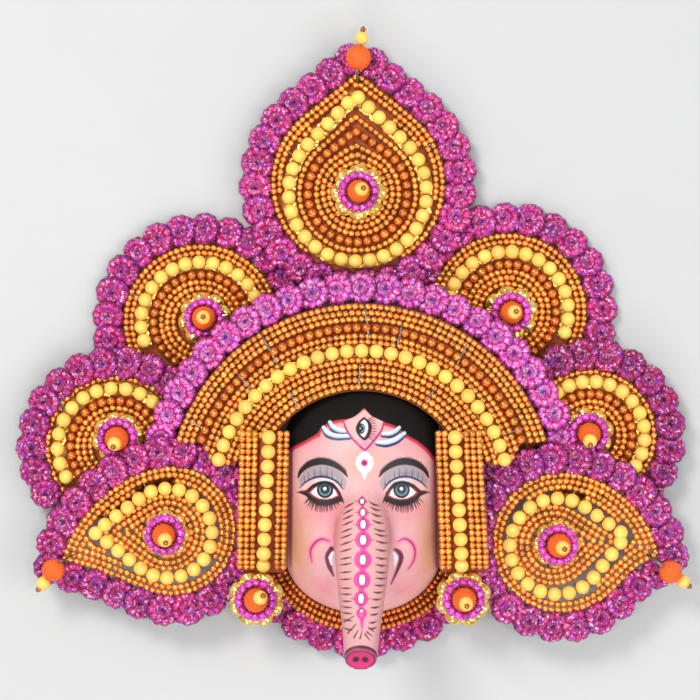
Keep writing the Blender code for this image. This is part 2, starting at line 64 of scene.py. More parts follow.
# ---------------------------------------------------------------------------
# node materials
# ---------------------------------------------------------------------------
class Nodes:
    def __init__(self, name):
        self.mat = bpy.data.materials.new(name)
        self.mat.use_nodes = True
        self.tree = self.mat.node_tree
        self.shader = self.tree.nodes["Principled BSDF"]
        self.place = self.add("ShaderNodeTexCoord").outputs["Object"]

    def add(self, kind, **values):
        node = self.tree.nodes.new(kind)
        for key, value in values.items():
            setattr(node, key, value)
        return node

    def link(self, a, b):
        self.tree.links.new(a, b)

    def set(self, **values):
        for key, value in values.items():
            self.shader.inputs[key.replace("_", " ")].default_value = value

    def noise(self, scale, detail=3.0, rough=0.5, warp=0.0):
        n = self.add("ShaderNodeTexNoise")
        n.inputs["Scale"].default_value = scale
        n.inputs["Detail"].default_value = detail
        n.inputs["Roughness"].default_value = rough
        n.inputs["Distortion"].default_value = warp
        self.link(self.place, n.inputs["Vector"])
        return n.outputs["Fac"]

    def cells(self, scale, feature="F1", out="Distance"):
        n = self.add("ShaderNodeTexVoronoi", feature=feature)
        n.inputs["Scale"].default_value = scale
        self.link(self.place, n.inputs["Vector"])
        return n.outputs[out]

    def ramp(self, source, *stops, constant=False):
        n = self.add("ShaderNodeValToRGB")
        if constant:
            n.color_ramp.interpolation = "CONSTANT"
        while len(n.color_ramp.elements) < len(stops):
            n.color_ramp.elements.new(0.5)
        for element, (at, colour) in zip(n.color_ramp.elements, stops):
            element.position = at
            element.color = (*colour, 1.0) if len(colour) == 3 else colour
        self.link(source, n.inputs["Fac"])
        return n.outputs["Color"]

    def range(self, source, low, high, to_low, to_high):
        n = self.add("ShaderNodeMapRange")
        for key, value in (("From Min", low), ("From Max", high), ("To Min", to_low), ("To Max", to_high)):
            n.inputs[key].default_value = value
        self.link(source, n.inputs["Value"])
        return n.outputs["Result"]

    def mix(self, a, b, factor, blend="MIX"):
        n = self.add("ShaderNodeMix", data_type="RGBA", blend_type=blend)
        for value, socket in ((factor, n.inputs[0]), (a, n.inputs[6]), (b, n.inputs[7])):
            if isinstance(value, bpy.types.NodeSocket):
                self.link(value, socket)
            elif isinstance(value, (int, float)):
                socket.default_value = value
            else:
                socket.default_value = (*value, 1.0)
        return n.outputs[2]

    def math(self, operation, a, b=None):
        n = self.add("ShaderNodeMath", operation=operation)
        for value, socket in ((a, n.inputs[0]), (b, n.inputs[1])):
            if isinstance(value, bpy.types.NodeSocket):
                self.link(value, socket)
            elif value is not None:
                socket.default_value = value
        return n.outputs[0]

    def own_place(self):
        """Place within one small form: x, y, z in millimetres."""
        n = self.add("ShaderNodeSeparateXYZ")
        self.link(self.add("ShaderNodeAttribute", attribute_name="local").outputs["Vector"], n.inputs[0])
        return n.outputs[0], n.outputs[1], n.outputs[2]

    def colour_of(self, attribute):
        n = self.add("ShaderNodeAttribute", attribute_name=attribute)
        return n.outputs["Color"]

    def bump(self, source, strength, distance, after=None):
        n = self.add("ShaderNodeBump")
        n.inputs["Strength"].default_value = strength
        n.inputs["Distance"].default_value = distance
        self.link(source, n.inputs["Height"])
        if after is not None:
            self.link(after, n.inputs["Normal"])
        return n.outputs["Normal"]

    def base(self, socket):
        self.link(socket, self.shader.inputs["Base Color"])

    def rough(self, socket):
        self.link(socket, self.shader.inputs["Roughness"])

    def normal(self, socket):
        self.link(socket, self.shader.inputs["Normal"])


def copper_look():
    m = Nodes("copper_bead")
    grime = m.ramp(m.noise(900.0, 3.0, 0.6), (0.3, (0.74, 0.6, 0.5)), (0.6, (1.1, 1.06, 1.02)))
    m.base(m.mix(m.colour_of("tint"), grime, 0.7, "MULTIPLY"))
    m.rough(m.range(m.noise(1700.0, 2.0), 0.3, 0.7, 0.16, 0.28))
    m.normal(m.bump(m.noise(2600.0, 2.0), 0.08, 0.0002))
    m.set(Metallic=0.76, Coat_Weight=0.34, Coat_Roughness=0.1)
    return m.mat


def yellow_look():
    m = Nodes("yellow_bead")
    cloud = m.ramp(m.noise(420.0, 4.0, 0.6), (0.28, (0.86, 0.76, 0.6)), (0.66, (1.08, 1.1, 1.18)))
    m.base(m.mix(m.colour_of("tint"), cloud, 0.7, "MULTIPLY"))
    m.rough(m.range(m.noise(1500.0, 3.0), 0.3, 0.7, 0.36, 0.58))
    m.normal(m.bump(m.noise(2300.0, 3.0), 0.22, 0.0002))
    m.set(Subsurface_Weight=0.12, Subsurface_Scale=0.002, Coat_Weight=0.08)
    return m.mat


def orange_look():
    m = Nodes("orange_ball")
    x, y, z = m.own_place()
    turn = m.math("ARCTAN2", z, y)
    rib = m.math("COSINE", m.math("MULTIPLY", turn, 24.0))
    band = m.math("COSINE", m.math("MULTIPLY", x, 4.6))
    pits = m.math("MULTIPLY", m.range(rib, -1.0, 1.0, 0.0, 1.0), m.range(band, -1.0, 0.2, 0.0, 1.0))
    # painted shade: the tint darkens in the grooves and pits of the ribbed ball and lightens on its ribs
    pit_shaded_tint = m.mix(m.colour_of("tint"), m.ramp(pits, (0.0, (0.62, 0.30, 0.24)), (0.55, (1.1, 1.12, 1.15))), 0.7, "MULTIPLY")
    m.base(m.mix(pit_shaded_tint, m.ramp(m.cells(1300.0), (0.1, (0.7, 0.6, 0.6)), (0.5, (1.06, 1.06, 1.06))), 0.5, "MULTIPLY"))
    m.rough(m.range(m.noise(1200.0, 3.0), 0.3, 0.7, 0.4, 0.62))
    m.normal(m.bump(pits, 0.7, 0.0005))
    return m.mat


def purple_look():
    m = Nodes("purple_bead")
    # painted glints: the brightest cells lift the tint to a pale pink, for the beads' sparkle
    m.base(m.mix(m.colour_of("tint"), m.ramp(m.cells(1100.0, out="Color"), (0.15, (0.5, 0.3, 0.7)), (0.55, (0.95, 0.9, 0.95)), (0.8, (1.25, 2.4, 1.5))), 0.75, "MULTIPLY"))
    m.rough(m.range(m.noise(1900.0, 2.0), 0.3, 0.7, 0.1, 0.26))
    m.normal(m.bump(m.cells(1500.0), 0.25, 0.0003))
    m.set(Metallic=0.5, Coat_Weight=0.6, Coat_Roughness=0.06)
    return m.mat


def glitter_look():
    m = Nodes("glitter_foil")
    x, y, z = m.own_place()
    turn = m.math("ARCTAN2", y, x)
    reach = m.math("SQRT", m.math("ADD", m.math("MULTIPLY", x, x), m.math("MULTIPLY", y, y)))
    reach = m.math("ADD", reach, m.range(m.noise(500.0, 2.0), 0.3, 0.7, -0.5, 0.5))
    inner = m.range(reach, 4.3, 5.1, 1.0, 0.0)
    # painted light and shade of the folds: the fine pleats of the inner disc and the creases between the outer loops go
    # dark, their ridges light
    fine = m.range(m.math("COSINE", m.math("MULTIPLY", turn, 28.0)), -1.0, 0.8, 0.18, 0.86)
    crease = m.range(m.math("ABSOLUTE", m.math("COSINE", m.math("MULTIPLY", turn, 5.5))), 0.0, 0.45, 0.12, 0.62)
    crease = m.math("ADD", crease, m.math("MULTIPLY", m.math("COSINE", m.math("MULTIPLY", turn, 44.0)), 0.2))
    # painted shade: a dark ring where the outer loops meet the inner disc
    split = m.range(m.math("ABSOLUTE", m.math("SUBTRACT", reach, 4.6)), 0.1, 0.8, 0.35, 1.0)
    fold = m.math("MULTIPLY", m.math("ADD", m.math("MULTIPLY", fine, inner), m.math("MULTIPLY", crease, m.math("SUBTRACT", 1.0, inner))), split)
    n = m.add("ShaderNodeSeparateColor")
    m.link(m.cells(1000.0, out="Color"), n.inputs["Color"])
    level = m.math("ADD", fold, m.range(n.outputs[0], 0.0, 1.0, -0.16, 0.22))
    foil = m.ramp(level, (0.0, tuple(srgb(96, 2, 56))), (0.3, tuple(srgb(190, 20, 116))), (0.66, tuple(srgb(250, 88, 196))), (1.0, tuple(srgb(255, 206, 250))))
    # painted shadow: each rosette darkens towards its rim, where its neighbours overlap it
    rim = m.range(reach, 7.5, 9.0, 0.0, 1.0)
    foil = m.mix(foil, tuple(srgb(84, 2, 58)), m.math("MULTIPLY", rim, 0.66))
    heart = m.range(reach, 0.9, 1.5, 1.0, 0.0)
    foil = m.mix(foil, tuple(srgb(150, 26, 170)), heart)
    blush = m.ramp(m.noise(150.0, 2.0), (0.35, (0.78, 0.62, 0.92)), (0.62, (1.08, 1.0, 1.02)))
    foil = m.mix(m.mix(foil, m.colour_of("tint"), 0.8, "MULTIPLY"), blush, 0.7, "MULTIPLY")
    violet = m.range(n.outputs[1], 0.87, 0.89, 0.0, 0.7)
    foil = m.mix(foil, tuple(srgb(122, 66, 226)), violet)
    # painted glints: pale pink sparkles in the colour, fewer towards the rim
    painted_glints = m.math("MULTIPLY", m.range(n.outputs[2], 0.865, 0.885, 0.0, 0.86), m.math("MULTIPLY", m.range(fold, 0.1, 0.5, 0.2, 1.0), m.range(reach, 7.5, 9.0, 1.0, 0.3)))
    m.base(m.mix(foil, tuple(srgb(255, 204, 240)), painted_glints))
    m.rough(m.range(n.outputs[1], 0.0, 1.0, 0.2, 0.5))
    m.normal(m.bump(n.outputs[2], 0.9, 0.0005, m.bump(fold, 0.7, 0.0008)))
    m.set(Metallic=0.5, Coat_Weight=0.12, Coat_Roughness=0.2)
    return m.mat


def gold_look():
    m = Nodes("gold_foil")
    foil = m.ramp(m.noise(330.0, 3.0), (0.3, tuple(srgb(206, 158, 66))), (0.5, tuple(srgb(236, 202, 110))), (0.72, tuple(srgb(250, 234, 168))))
    m.base(m.mix(foil, m.colour_of("tint"), 1.0, "MULTIPLY"))
    m.rough(m.range(m.noise(700.0, 2.0), 0.3, 0.7, 0.09, 0.22))
    m.normal(m.bump(m.noise(420.0, 3.0, 0.5, 0.4), 0.22, 0.0006))
    m.set(Metallic=0.85)
    return m.mat


def card_look():
    m = Nodes("maroon_card")
    fibre = m.ramp(m.noise(260.0, 5.0, 0.65, 0.8), (0.3, tuple(srgb(134, 54, 22))), (0.7, tuple(srgb(184, 90, 38))))
    m.base(m.mix(fibre, m.ramp(m.noise(1500.0, 2.0), (0.4, (0.8, 0.8, 0.8)), (0.7, (1.15, 1.1, 1.1))), 0.7, "MULTIPLY"))
    m.rough(m.range(m.noise(600.0, 3.0), 0.3, 0.7, 0.72, 0.92))
    m.normal(m.bump(m.noise(1300.0, 4.0, 0.7), 0.4, 0.0003))
    return m.mat


def kraft_look():
    m = Nodes("kraft_back")
    fibre = m.ramp(m.noise(240.0, 6.0, 0.7, 1.2), (0.3, tuple(srgb(132, 100, 68))), (0.7, tuple(srgb(178, 146, 104))))
    m.base(m.mix(fibre, m.ramp(m.noise(1900.0, 2.0), (0.35, (0.78, 0.76, 0.72)), (0.7, (1.1, 1.1, 1.1))), 0.8, "MULTIPLY"))
    m.rough(m.range(m.noise(500.0, 3.0), 0.3, 0.7, 0.78, 0.95))
    m.normal(m.bump(m.noise(1100.0, 5.0, 0.7), 0.5, 0.0004))
    return m.mat


def raw_look():
    m = Nodes("bare_papier_mache")
    torn = m.cells(70.0, out="Color")
    n = m.add("ShaderNodeSeparateColor")
    m.link(torn, n.inputs["Color"])
    sheet = m.ramp(n.outputs[0], (0.1, tuple(srgb(150, 136, 112))), (0.5, tuple(srgb(186, 172, 144))), (0.9, tuple(srgb(166, 146, 116))))
    m.base(m.mix(sheet, m.ramp(m.noise(420.0, 5.0, 0.65), (0.3, (0.72, 0.7, 0.66)), (0.7, (1.08, 1.08, 1.06))), 0.85, "MULTIPLY"))
    m.rough(m.range(m.noise(300.0, 3.0), 0.3, 0.7, 0.75, 0.95))
    m.normal(m.bump(n.outputs[1], 0.35, 0.0006, m.bump(m.noise(600.0, 5.0, 0.7), 0.5, 0.0005)))
    return m.mat


def paint_look():
    m = Nodes("painted_face")
    wash = m.ramp(m.noise(120.0, 4.0, 0.6, 0.4), (0.3, (0.93, 0.9, 0.9)), (0.7, (1.04, 1.03, 1.02)))
    grain = m.ramp(m.noise(1500.0, 3.0, 0.6), (0.3, (0.93, 0.92, 0.91)), (0.7, (1.04, 1.04, 1.04)))
    m.base(m.mix(m.mix(m.colour_of("paint"), wash, 0.8, "MULTIPLY"), grain, 0.8, "MULTIPLY"))
    hair = m.add("ShaderNodeAttribute", attribute_name="matte").outputs["Fac"]
    sheen = m.range(m.noise(260.0, 4.0), 0.3, 0.7, 0.38, 0.54)
    dull = m.add("ShaderNodeMath", operation="ADD")
    dull.use_clamp = True
    m.link(sheen, dull.inputs[0])
    m.link(m.range(hair, 0.0, 1.0, 0.0, 0.4), dull.inputs[1])
    m.rough(dull.outputs[0])
    m.link(m.range(hair, 0.0, 1.0, 0.45, 0.08), m.shader.inputs["Specular IOR Level"])
    m.normal(m.bump(m.noise(900.0, 4.0, 0.6), 0.1, 0.0004, m.bump(m.noise(110.0, 3.0), 0.14, 0.0012)))
    return m.mat


def wire_look():
    m = Nodes("thin_wire")
    m.base(m.ramp(m.noise(1500.0, 3.0), (0.35, tuple(srgb(96, 90, 84))), (0.65, tuple(srgb(182, 178, 170)))))
    m.rough(m.range(m.noise(2500.0, 2.0), 0.3, 0.7, 0.2, 0.4))
    m.normal(m.bump(m.noise(3500.0, 2.0), 0.2, 0.0002))
    m.set(Metallic=0.95)
    return m.mat


def thread_look():
    m = Nodes("red_thread")
    m.base(m.ramp(m.noise(2600.0, 3.0), (0.3, tuple(srgb(84, 8, 14))), (0.7, tuple(srgb(158, 24, 34)))))
    m.rough(m.range(m.noise(1800.0, 3.0), 0.3, 0.7, 0.65, 0.85))
    m.normal(m.bump(m.noise(4200.0, 3.0), 0.4, 0.0002))
    return m.mat


def floor_look():
    m = Nodes("pale_floor")
    m.base(m.ramp(m.noise(3.0, 3.0), (0.3, (0.50, 0.50, 0.49)), (0.7, (0.525, 0.525, 0.515))))
    m.rough(m.range(m.noise(40.0, 2.0), 0.3, 0.7, 0.6, 0.72))
    return m.mat


COPPER, YELLOW, ORANGE, PURPLE = copper_look(), yellow_look(), orange_look(), purple_look()
GLITTER, GOLD, CARD, KRAFT = glitter_look(), gold_look(), card_look(), kraft_look()
RAW, PAINT, WIRE, THREAD = raw_look(), paint_look(), wire_look(), thread_look()

rng = np.random.default_rng(20607)


# ---------------------------------------------------------------------------
# one mesh from many small forms
# ---------------------------------------------------------------------------
class Heap:
    """Collects forms, then makes one object of them."""

    def __init__(self):
        self.points, self.tints, self.locals, self.faces, self.count, self.materials = [], [], [], [], 0, []

    def slot(self, material):
        if material not in self.materials:
            self.materials.append(material)
        return self.materials.index(material)

    def add(self, points, faces, material, tint=(0.5, 0.5, 0.5), flat=False, own=None):
        points = np.asarray(points, float)
        self.locals.append(points if own is None else own)
        tint = np.broadcast_to(np.asarray(tint, float), (len(points), 3))
        self.points.append(points)
        self.tints.append(tint)
        slot = self.slot(material)
        for loop in faces:
            loop = np.asarray(loop, int)
            if len(loop):
                self.faces.append((loop + self.count, slot, flat))
        self.count += len(points)

    def copies(self, form, turns, places, material, tints, flat=False):
        """form placed many times: turns (n,3,3), places (n,3), tints (n,3)."""
        points, faces = form
        turns, places = np.asarray(turns, float), np.asarray(places, float)
        many = np.einsum("nij,pj->npi", turns, points) + places[:, None, :]
        n, p = many.shape[:2]
        steps = (np.arange(n) * p)[:, None, None]
        loops = [(np.asarray(f, int)[None] + steps).reshape(-1, np.asarray(f).shape[1]) for f in faces if len(f)]
        self.add(many.reshape(-1, 3), loops, material, np.repeat(np.asarray(tints, float), p, axis=0), flat, np.tile(points, (n, 1)))

    def build(self, name, *nodes, slot=None, own=False):
        points = np.concatenate(self.points)
        if not own:
            points = (points + SHIFT) * MM
        mesh = bpy.data.meshes.new(name)
        mesh.vertices.add(len(points))
        mesh.vertices.foreach_set("co", points.astype(np.float32).ravel())
        flat_loops = np.concatenate([f.ravel() for f, _, _ in self.faces])
        sizes = np.concatenate([np.full(len(f), f.shape[1]) for f, _, _ in self.faces])
        slots = np.concatenate([np.full(len(f), s) for f, s, _ in self.faces])
        smooth = np.concatenate([np.full(len(f), not flat) for f, _, flat in self.faces])
        mesh.loops.add(len(flat_loops))
        mesh.loops.foreach_set("vertex_index", flat_loops.astype(np.int32))
        mesh.polygons.add(len(sizes))
        mesh.polygons.foreach_set("loop_start", (np.cumsum(sizes) - sizes).astype(np.int32))
        mesh.polygons.foreach_set("material_index", slots.astype(np.int32))
        mesh.update(calc_edges=True)
        mesh.polygons.foreach_set("use_smooth", smooth)
        layer = mesh.attributes.new("tint", "FLOAT_COLOR", "POINT")
        tints = np.concatenate(self.tints)
        layer.data.foreach_set("color", np.hstack([tints, np.ones((len(tints), 1))]).astype(np.float32).ravel())
        layer = mesh.attributes.new("local", "FLOAT_VECTOR", "POINT")
        layer.data.foreach_set("vector", np.concatenate(self.locals).astype(np.float32).ravel())
        for material in self.materials:
            mesh.materials.append(material)
        obj = bpy.data.objects.new(name, mesh)
        bpy.context.scene.collection.objects.link(obj)
        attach(obj, "root")
        if nodes:
            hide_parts(*nodes)
        return obj


# ---------------------------------------------------------------------------
# small forms, millimetres
# ---------------------------------------------------------------------------
def lathe(profile, around, lobes=None):
    """Closed form turned about X: profile of (along, radius), poles at both ends."""
    points, rings = [], []
    turn = np.linspace(0, math.tau, around, endpoint=False)
    for along, radius in profile[1:-1]:
        rings.append(len(points) + np.arange(around))
        for t in turn:
            r = radius if lobes is None else radius * lobes(along, t)
            points.append((along, r * math.cos(t), r * math.sin(t)))
    first, last = len(points), len(points) + 1
    points += [(profile[0][0], 0, 0), (profile[-1][0], 0, 0)]
    quads, tris = [], []
    for a, b in zip(rings, rings[1:]):
        for i in range(around):
            j = (i + 1) % around
            quads.append((a[i], a[j], b[j], b[i]))
    for i in range(around):
        j = (i + 1) % around
        tris.append((first, rings[0][j], rings[0][i]))
        tris.append((last, rings[-1][i], rings[-1][j]))
    points, quads, tris = np.array(points, float), np.array(quads), np.array(tris)
    # outward faces
    a, b, c = (points[tris[:, k]] for k in range(3))
    if np.einsum("ij,ij->", np.cross(b - a, c - a), (a + b + c) / 3 - points.mean(0)) < 0:
        tris = tris[:, ::-1]
    a, b, c = (points[quads[:, k]] for k in range(3))
    middle = points[quads].mean(1)
    if np.einsum("ij,ij->", np.cross(b - a, c - a), middle - points.mean(0)) < 0:
        quads = quads[:, ::-1]
    return points, [quads, tris]


def ball_profile(r, rings, hole=0.0, squash=1.0):
    """Round bead with a small dimple where the string runs through."""
    found = [(-r * squash * (0.86 if hole else 1.0), 0.0)]
    start = math.asin(hole / r) if hole else math.pi / (rings + 1)
    for i in range(rings):
        t = start + (math.pi - 2 * start) * i / (rings - 1)
        found.append((-r * squash * math.cos(t), r * math.sin(t)))
    found.append((r * squash * (0.86 if hole else 1.0), 0.0))
    return found


def seed_form(r, length, around=8):
    h = length / 2
    return lathe([(-h * 0.9, 0), (-h * 0.97, r * 0.42), (-h * 0.62, r * 0.86), (0.0, r), (h * 0.62, r * 0.86), (h * 0.97, r * 0.42), (h * 0.9, 0)], around)


SMALL_R = 1.92
SEED = seed_form(SMALL_R, 3.6)
SEED_FINE = seed_form(1.78, 2.95)
MEDIUM = lathe(ball_profile(2.6, 8, 0.55), 14)
YELLOW_BEAD = lathe(ball_profile(3.88, 10, 0.8), 20)
TIP_BEAD = lathe(ball_profile(1.55, 5, 0.3), 10)
PURPLE_BEAD = lathe(ball_profile(1.75, 5, 0.4), 9)
TUFT = lathe(ball_profile(2.35, 7, 0.5), 14, lambda a, t: 1.0 + 0.12 * math.sin(5 * t + 2.0 * a) + 0.07 * math.sin(3.1 * a))


def pitted(a, t):
    """Shallow ribs and pits of a moulded ball."""
    return 1.0 + 0.03 * math.cos(20 * t) + 0.016 * math.sin(2.6 * a + 0.7)


ORANGE_BALL = {r: lathe(ball_profile(r, 18, 0.9), 40, pitted) for r in (6.2, 6.5, 6.9)}


def frames_along(path, closed):
    """Unit tangents of a path of points (n,3)."""
    if closed:
        ahead = np.roll(path, -1, 0) - np.roll(path, 1, 0)
    else:
        ahead = np.gradient(path, axis=0)
    return ahead / np.maximum(np.linalg.norm(ahead, axis=1, keepdims=True), 1e-9)


def turns_to(directions, spin=0.0):
    """Rotations that take X to each direction, with a roll about it."""
    d = np.asarray(directions, float)
    d = d / np.linalg.norm(d, axis=1, keepdims=True)
    up = np.tile([0.0, 0.0, 1.0], (len(d), 1))
    up[np.abs(d[:, 2]) > 0.9] = (0.0, 1.0, 0.0)
    side = np.cross(up, d)
    side /= np.linalg.norm(side, axis=1, keepdims=True)
    top = np.cross(d, side)
    spin = np.broadcast_to(spin, (len(d),))[:, None]
    y = side * np.cos(spin) + top * np.sin(spin)
    z = -side * np.sin(spin) + top * np.cos(spin)
    return np.stack([d, y, z], axis=2)


def even(path, pitch, closed):
    """The path's points spaced evenly at about a pitch, as (n,3)."""
    path = np.asarray(path, float)
    run = np.vstack([path, path[:1]]) if closed else path
    steps = np.linalg.norm(np.diff(run, axis=0), axis=1)
    total = steps.sum()
    if total < pitch:
        return path[:1]
    count = max(2, int(round(total / pitch)))
    at = np.concatenate([[0.0], np.cumsum(steps)])
    places = np.arange(count) * total / count if closed else (np.arange(count) + 0.5) * total / count
    return np.stack([np.interp(places, at, run[:, k]) for k in range(run.shape[1])], axis=1)


def rod(heap, path, r, material, closed=False, sides=6, tint=(0.5, 0.5, 0.5)):
    """A thin round wire or thread."""
    path = np.asarray(path, float)
    if len(path) < 2:
        return
    along = frames_along(path, closed)
    turns = turns_to(along)
    a = np.linspace(0, math.tau, sides, endpoint=False)
    circle = np.stack([np.zeros(sides), r * np.cos(a), r * np.sin(a)], 1)
    points = (np.einsum("nij,pj->npi", turns, circle) + path[:, None, :]).reshape(-1, 3)
    n = len(path)
    quads = []
    for i in range(n if closed else n - 1):
        j = (i + 1) % n
        for k in range(sides):
            m = (k + 1) % sides
            quads.append((i * sides + k, i * sides + m, j * sides + m, j * sides + k))
    faces = [np.array(quads)]
    if not closed:
        faces.append(np.array([list(range(sides))[::-1], [(n - 1) * sides + k for k in range(sides)]]))
    heap.add(points, faces, material, tint)


def varied(base, n, spread=0.12, shift=0.05):
    """n colours round a base one."""
    level = 1.0 + spread * rng.standard_normal((n, 1))
    hue = 1.0 + shift * rng.standard_normal((n, 3))
    return np.clip(np.asarray(base)[None] * np.clip(level, 0.6, 1.5) * hue, 0.0, 1.0)


COPPER_GOLD, COPPER_RED, COPPER_DARK = srgb(238, 161, 74), srgb(222, 131, 54), srgb(180, 100, 48)
YELLOW_TINT, ORANGE_TINT = srgb(252, 202, 94), srgb(252, 110, 18)
PURPLE_TINT = srgb(220, 76, 182)


def string_of(heap, path, closed, kind="small", calm=False):
    """Beads along a path. Returns their places."""
    form, pitch, base, spread = {
        "small": (SEED, 3.45, COPPER_GOLD, 0.15),
        "fine": (SEED_FINE, 2.9, COPPER_GOLD * (0.82, 0.62, 0.6), 0.12),
        "medium": (MEDIUM, 5.2, COPPER_RED, 0.10),
        "yellow": (YELLOW_BEAD, 8.0, YELLOW_TINT, 0.05),
    }[kind]
    places = even(path, pitch, closed)
    if len(places) < 2:
        return places
    along = frames_along(places, closed)
    jitter = rng.normal(0, 0.035 if kind == "yellow" else 0.10, along.shape)
    if kind != "yellow":
        places = places + rng.normal(0, 0.04 if calm else 0.08, places.shape)
    turns = turns_to(along + jitter, rng.uniform(0, math.tau, len(along)))
    scale = 1.0 + np.clip(rng.normal(0, 0.012 if kind == "yellow" else 0.03, len(along)), -0.05, 0.03)
    heap.copies(form, turns * scale[:, None, None], places, {"yellow": YELLOW}.get(kind, COPPER),
                varied(base, len(places), spread, 0.02 if kind == "yellow" else 0.05))
    rod(heap, places, 0.34, THREAD, closed, 4)
    return places


# ---------------------------------------------------------------------------
# plane outlines, as in the solid model but finer
# ---------------------------------------------------------------------------
def arc(centre, r, a0, a1, steps, ry=None):
    t = np.radians(np.linspace(a0, a1, steps + 1))
    return np.stack([centre[0] + r * np.cos(t), centre[1] + (r if ry is None else ry) * np.sin(t)], 1)


def drop(centre, r, tip, steps=120):
    dx, dy = tip[0] - centre[0], tip[1] - centre[1]
    aim = math.degrees(math.atan2(dy, dx))
    half = math.degrees(math.acos(min(1.0, r / math.hypot(dx, dy))))
    body = arc(centre, r, aim + half, aim + 360 - half, steps)
    ends = [body[-1] + (np.array(tip) - body[-1]) * s for s in np.linspace(0, 1, 16)[1:]]
    back = [np.array(tip) + (body[0] - np.array(tip)) * s for s in np.linspace(0, 1, 16)[1:-1]]
    return np.vstack([body, ends, back])


def flank(p0, h0, h1, p1, steps):
    t = (np.arange(1, steps) / steps)[:, None]
    return (1 - t) ** 3 * p0 + 3 * t * (1 - t) ** 2 * h0 + 3 * t * t * (1 - t) * h1 + t ** 3 * p1


def leaf(centre, r, tip, side, steps=100, belly=30.0, hook=17.0):
    up, low = (80.0, -68.0) if side > 0 else (100.0, 248.0)
    if side > 0:
        body = arc(centre, r, up, up + 360.0 - (up - low), steps)
    else:
        body = arc(centre, r, up, up - (360.0 - (low - up)), steps)
    top, bottom, tip = body[0], body[-1], np.array(tip, float)
    rises = tip + (-0.12 * side * hook, hook)
    level = tip + (-side * hook, -0.1 * hook)
    lift = belly * 0.62
    leave = bottom + (side * lift * math.cos(math.radians(20)), lift * math.sin(math.radians(20)))
    reach = top + (side * belly, -0.17 * belly)
    return np.vstack([body, flank(bottom, leave, level, tip, 30), tip[None], flank(tip, rises, reach, top, 30)])


def spin_of(loop):
    x, y = loop[:, 0], loop[:, 1]
    return 1.0 if np.sum(x * np.roll(y, -1) - np.roll(x, -1) * y) > 0 else -1.0


def away(points, line, closed=True):
    """Distance from each point to a line of points."""
    a = line
    b = np.roll(line, -1, 0) if closed else line[1:]
    a = a if closed else line[:-1]
    best = np.full(len(points), 1e9)
    for p, q in zip(a, b):
        d = q - p
        length = max(float(d @ d), 1e-12)
        t = np.clip(((points - p) @ d) / length, 0, 1)
        best = np.minimum(best, np.linalg.norm(points - (p + t[:, None] * d), axis=1))
    return best


def inside(points, loop):
    """Whether each point lies within a closed line."""
    x, y = points[:, 0], points[:, 1]
    odd = np.zeros(len(points), bool)
    for (x0, y0), (x1, y1) in zip(loop, np.roll(loop, -1, 0)):
        if y0 != y1:
            odd ^= ((y0 > y) != (y1 > y)) & (x < (x1 - x0) * (y - y0) / (y1 - y0) + x0)
    return odd


def offset(loop, by):
    """The loop moved outwards (by > 0) or inwards, without its crossed tails."""
    loop = even(loop, 0.8, True)
    along = frames_along(loop, True)
    normal = np.stack([along[:, 1], -along[:, 0]], 1) * spin_of(loop)
    moved = loop + normal * by
    if by < 0:
        moved = moved[away(moved, loop) > abs(by) - 0.12]
    return moved


def lift(flat, z):
    return np.column_stack([flat, np.full(len(flat), z) if np.isscalar(z) else z])


def runs_of(points, keep, closed=True):
    """Splits a closed line into the runs that keep marks."""
    if keep.all():
        return [(points, closed)]
    if not keep.any():
        return []
    start = int(np.argmin(keep)) if closed else 0
    points, keep = np.roll(points, -start, 0) if closed else points, np.roll(keep, -start) if closed else keep
    found, run = [], []
    for p, k in zip(points, keep):
        if k:
            run.append(p)
        elif run:
            found.append(np.array(run))
            run = []
    if run:
        found.append(np.array(run))
    return [(r, False) for r in found if len(r) > 3]


# ---------------------------------------------------------------------------
# rosettes of glitter foil
# ---------------------------------------------------------------------------
def rosette_form(seed, r=9.7, height=4.4, petals=11, around=55):
    """A rosette of folded foil: eleven puffed loops round a pleated, slightly hollow disc."""
    own = np.random.default_rng(seed)
    t = np.linspace(0, math.tau, around, endpoint=False)
    lobe = np.abs(np.cos(petals * t / 2))
    edge = r * (0.90 + 0.10 * lobe ** 0.6) * (1 + own.normal(0, 0.010, around))
    share = np.array([0.10, 0.22, 0.34, 0.43, 0.49, 0.56, 0.66, 0.77, 0.87, 0.94, 0.985, 1.0])
    base = np.interp(share, [0.0, 0.10, 0.22, 0.43, 0.49, 0.56, 0.68, 0.80, 0.90, 0.96, 1.0], [0.62, 0.60, 0.80, 0.92, 0.70, 0.86, 1.0, 0.92, 0.66, 0.40, 0.10])
    puff = np.interp(share, [0.0, 0.45, 0.56, 0.72, 0.90, 1.0], [0.0, 0.0, 0.7, 1.0, 0.8, 0.0])
    x, y = [np.array([0.0])], [np.array([0.0])]
    z = [np.array([height * 0.66])]
    loops = own.normal(0, 0.25, petals)[np.round(petals * t / math.tau).astype(int) % petals]
    for s, b, p in zip(share, base, puff):
        level = height * b - 1.35 * p * (1 - lobe) ** 1.2 + loops * p
        if s < 0.45:
            level = level + 0.14 * np.where(np.arange(around) % 2, 1, -1)
        if s < 0.99:
            level = level + own.normal(0, 0.07, around)
        x.append(s * edge * np.cos(t))
        y.append(s * edge * np.sin(t))
        z.append(np.maximum(level, 0.3))
    under = 1 + len(share) * around
    x = np.concatenate([*x, edge * 0.9 * np.cos(t), [0.0]])
    y = np.concatenate([*y, edge * 0.9 * np.sin(t), [0.0]])
    z = np.concatenate([*z, np.full(around, -0.1), [0.25]])
    points = np.stack([x, y, z], 1)
    tris, quads = [], []
    for i in range(around):
        j = (i + 1) % around
        tris.append((0, 1 + i, 1 + j))
        for k in range(len(share) - 1):
            a, b = 1 + k * around, 1 + (k + 1) * around
            quads.append((a + i, b + i, b + j, a + j))
        a = 1 + (len(share) - 1) * around
        quads.append((a + i, under + i, under + j, a + j))
        tris.append((under + around, under + j, under + i))
    return points, [np.array(quads), np.array(tris)]


ROSETTES = [rosette_form(s) for s in (3, 14, 15, 92)]


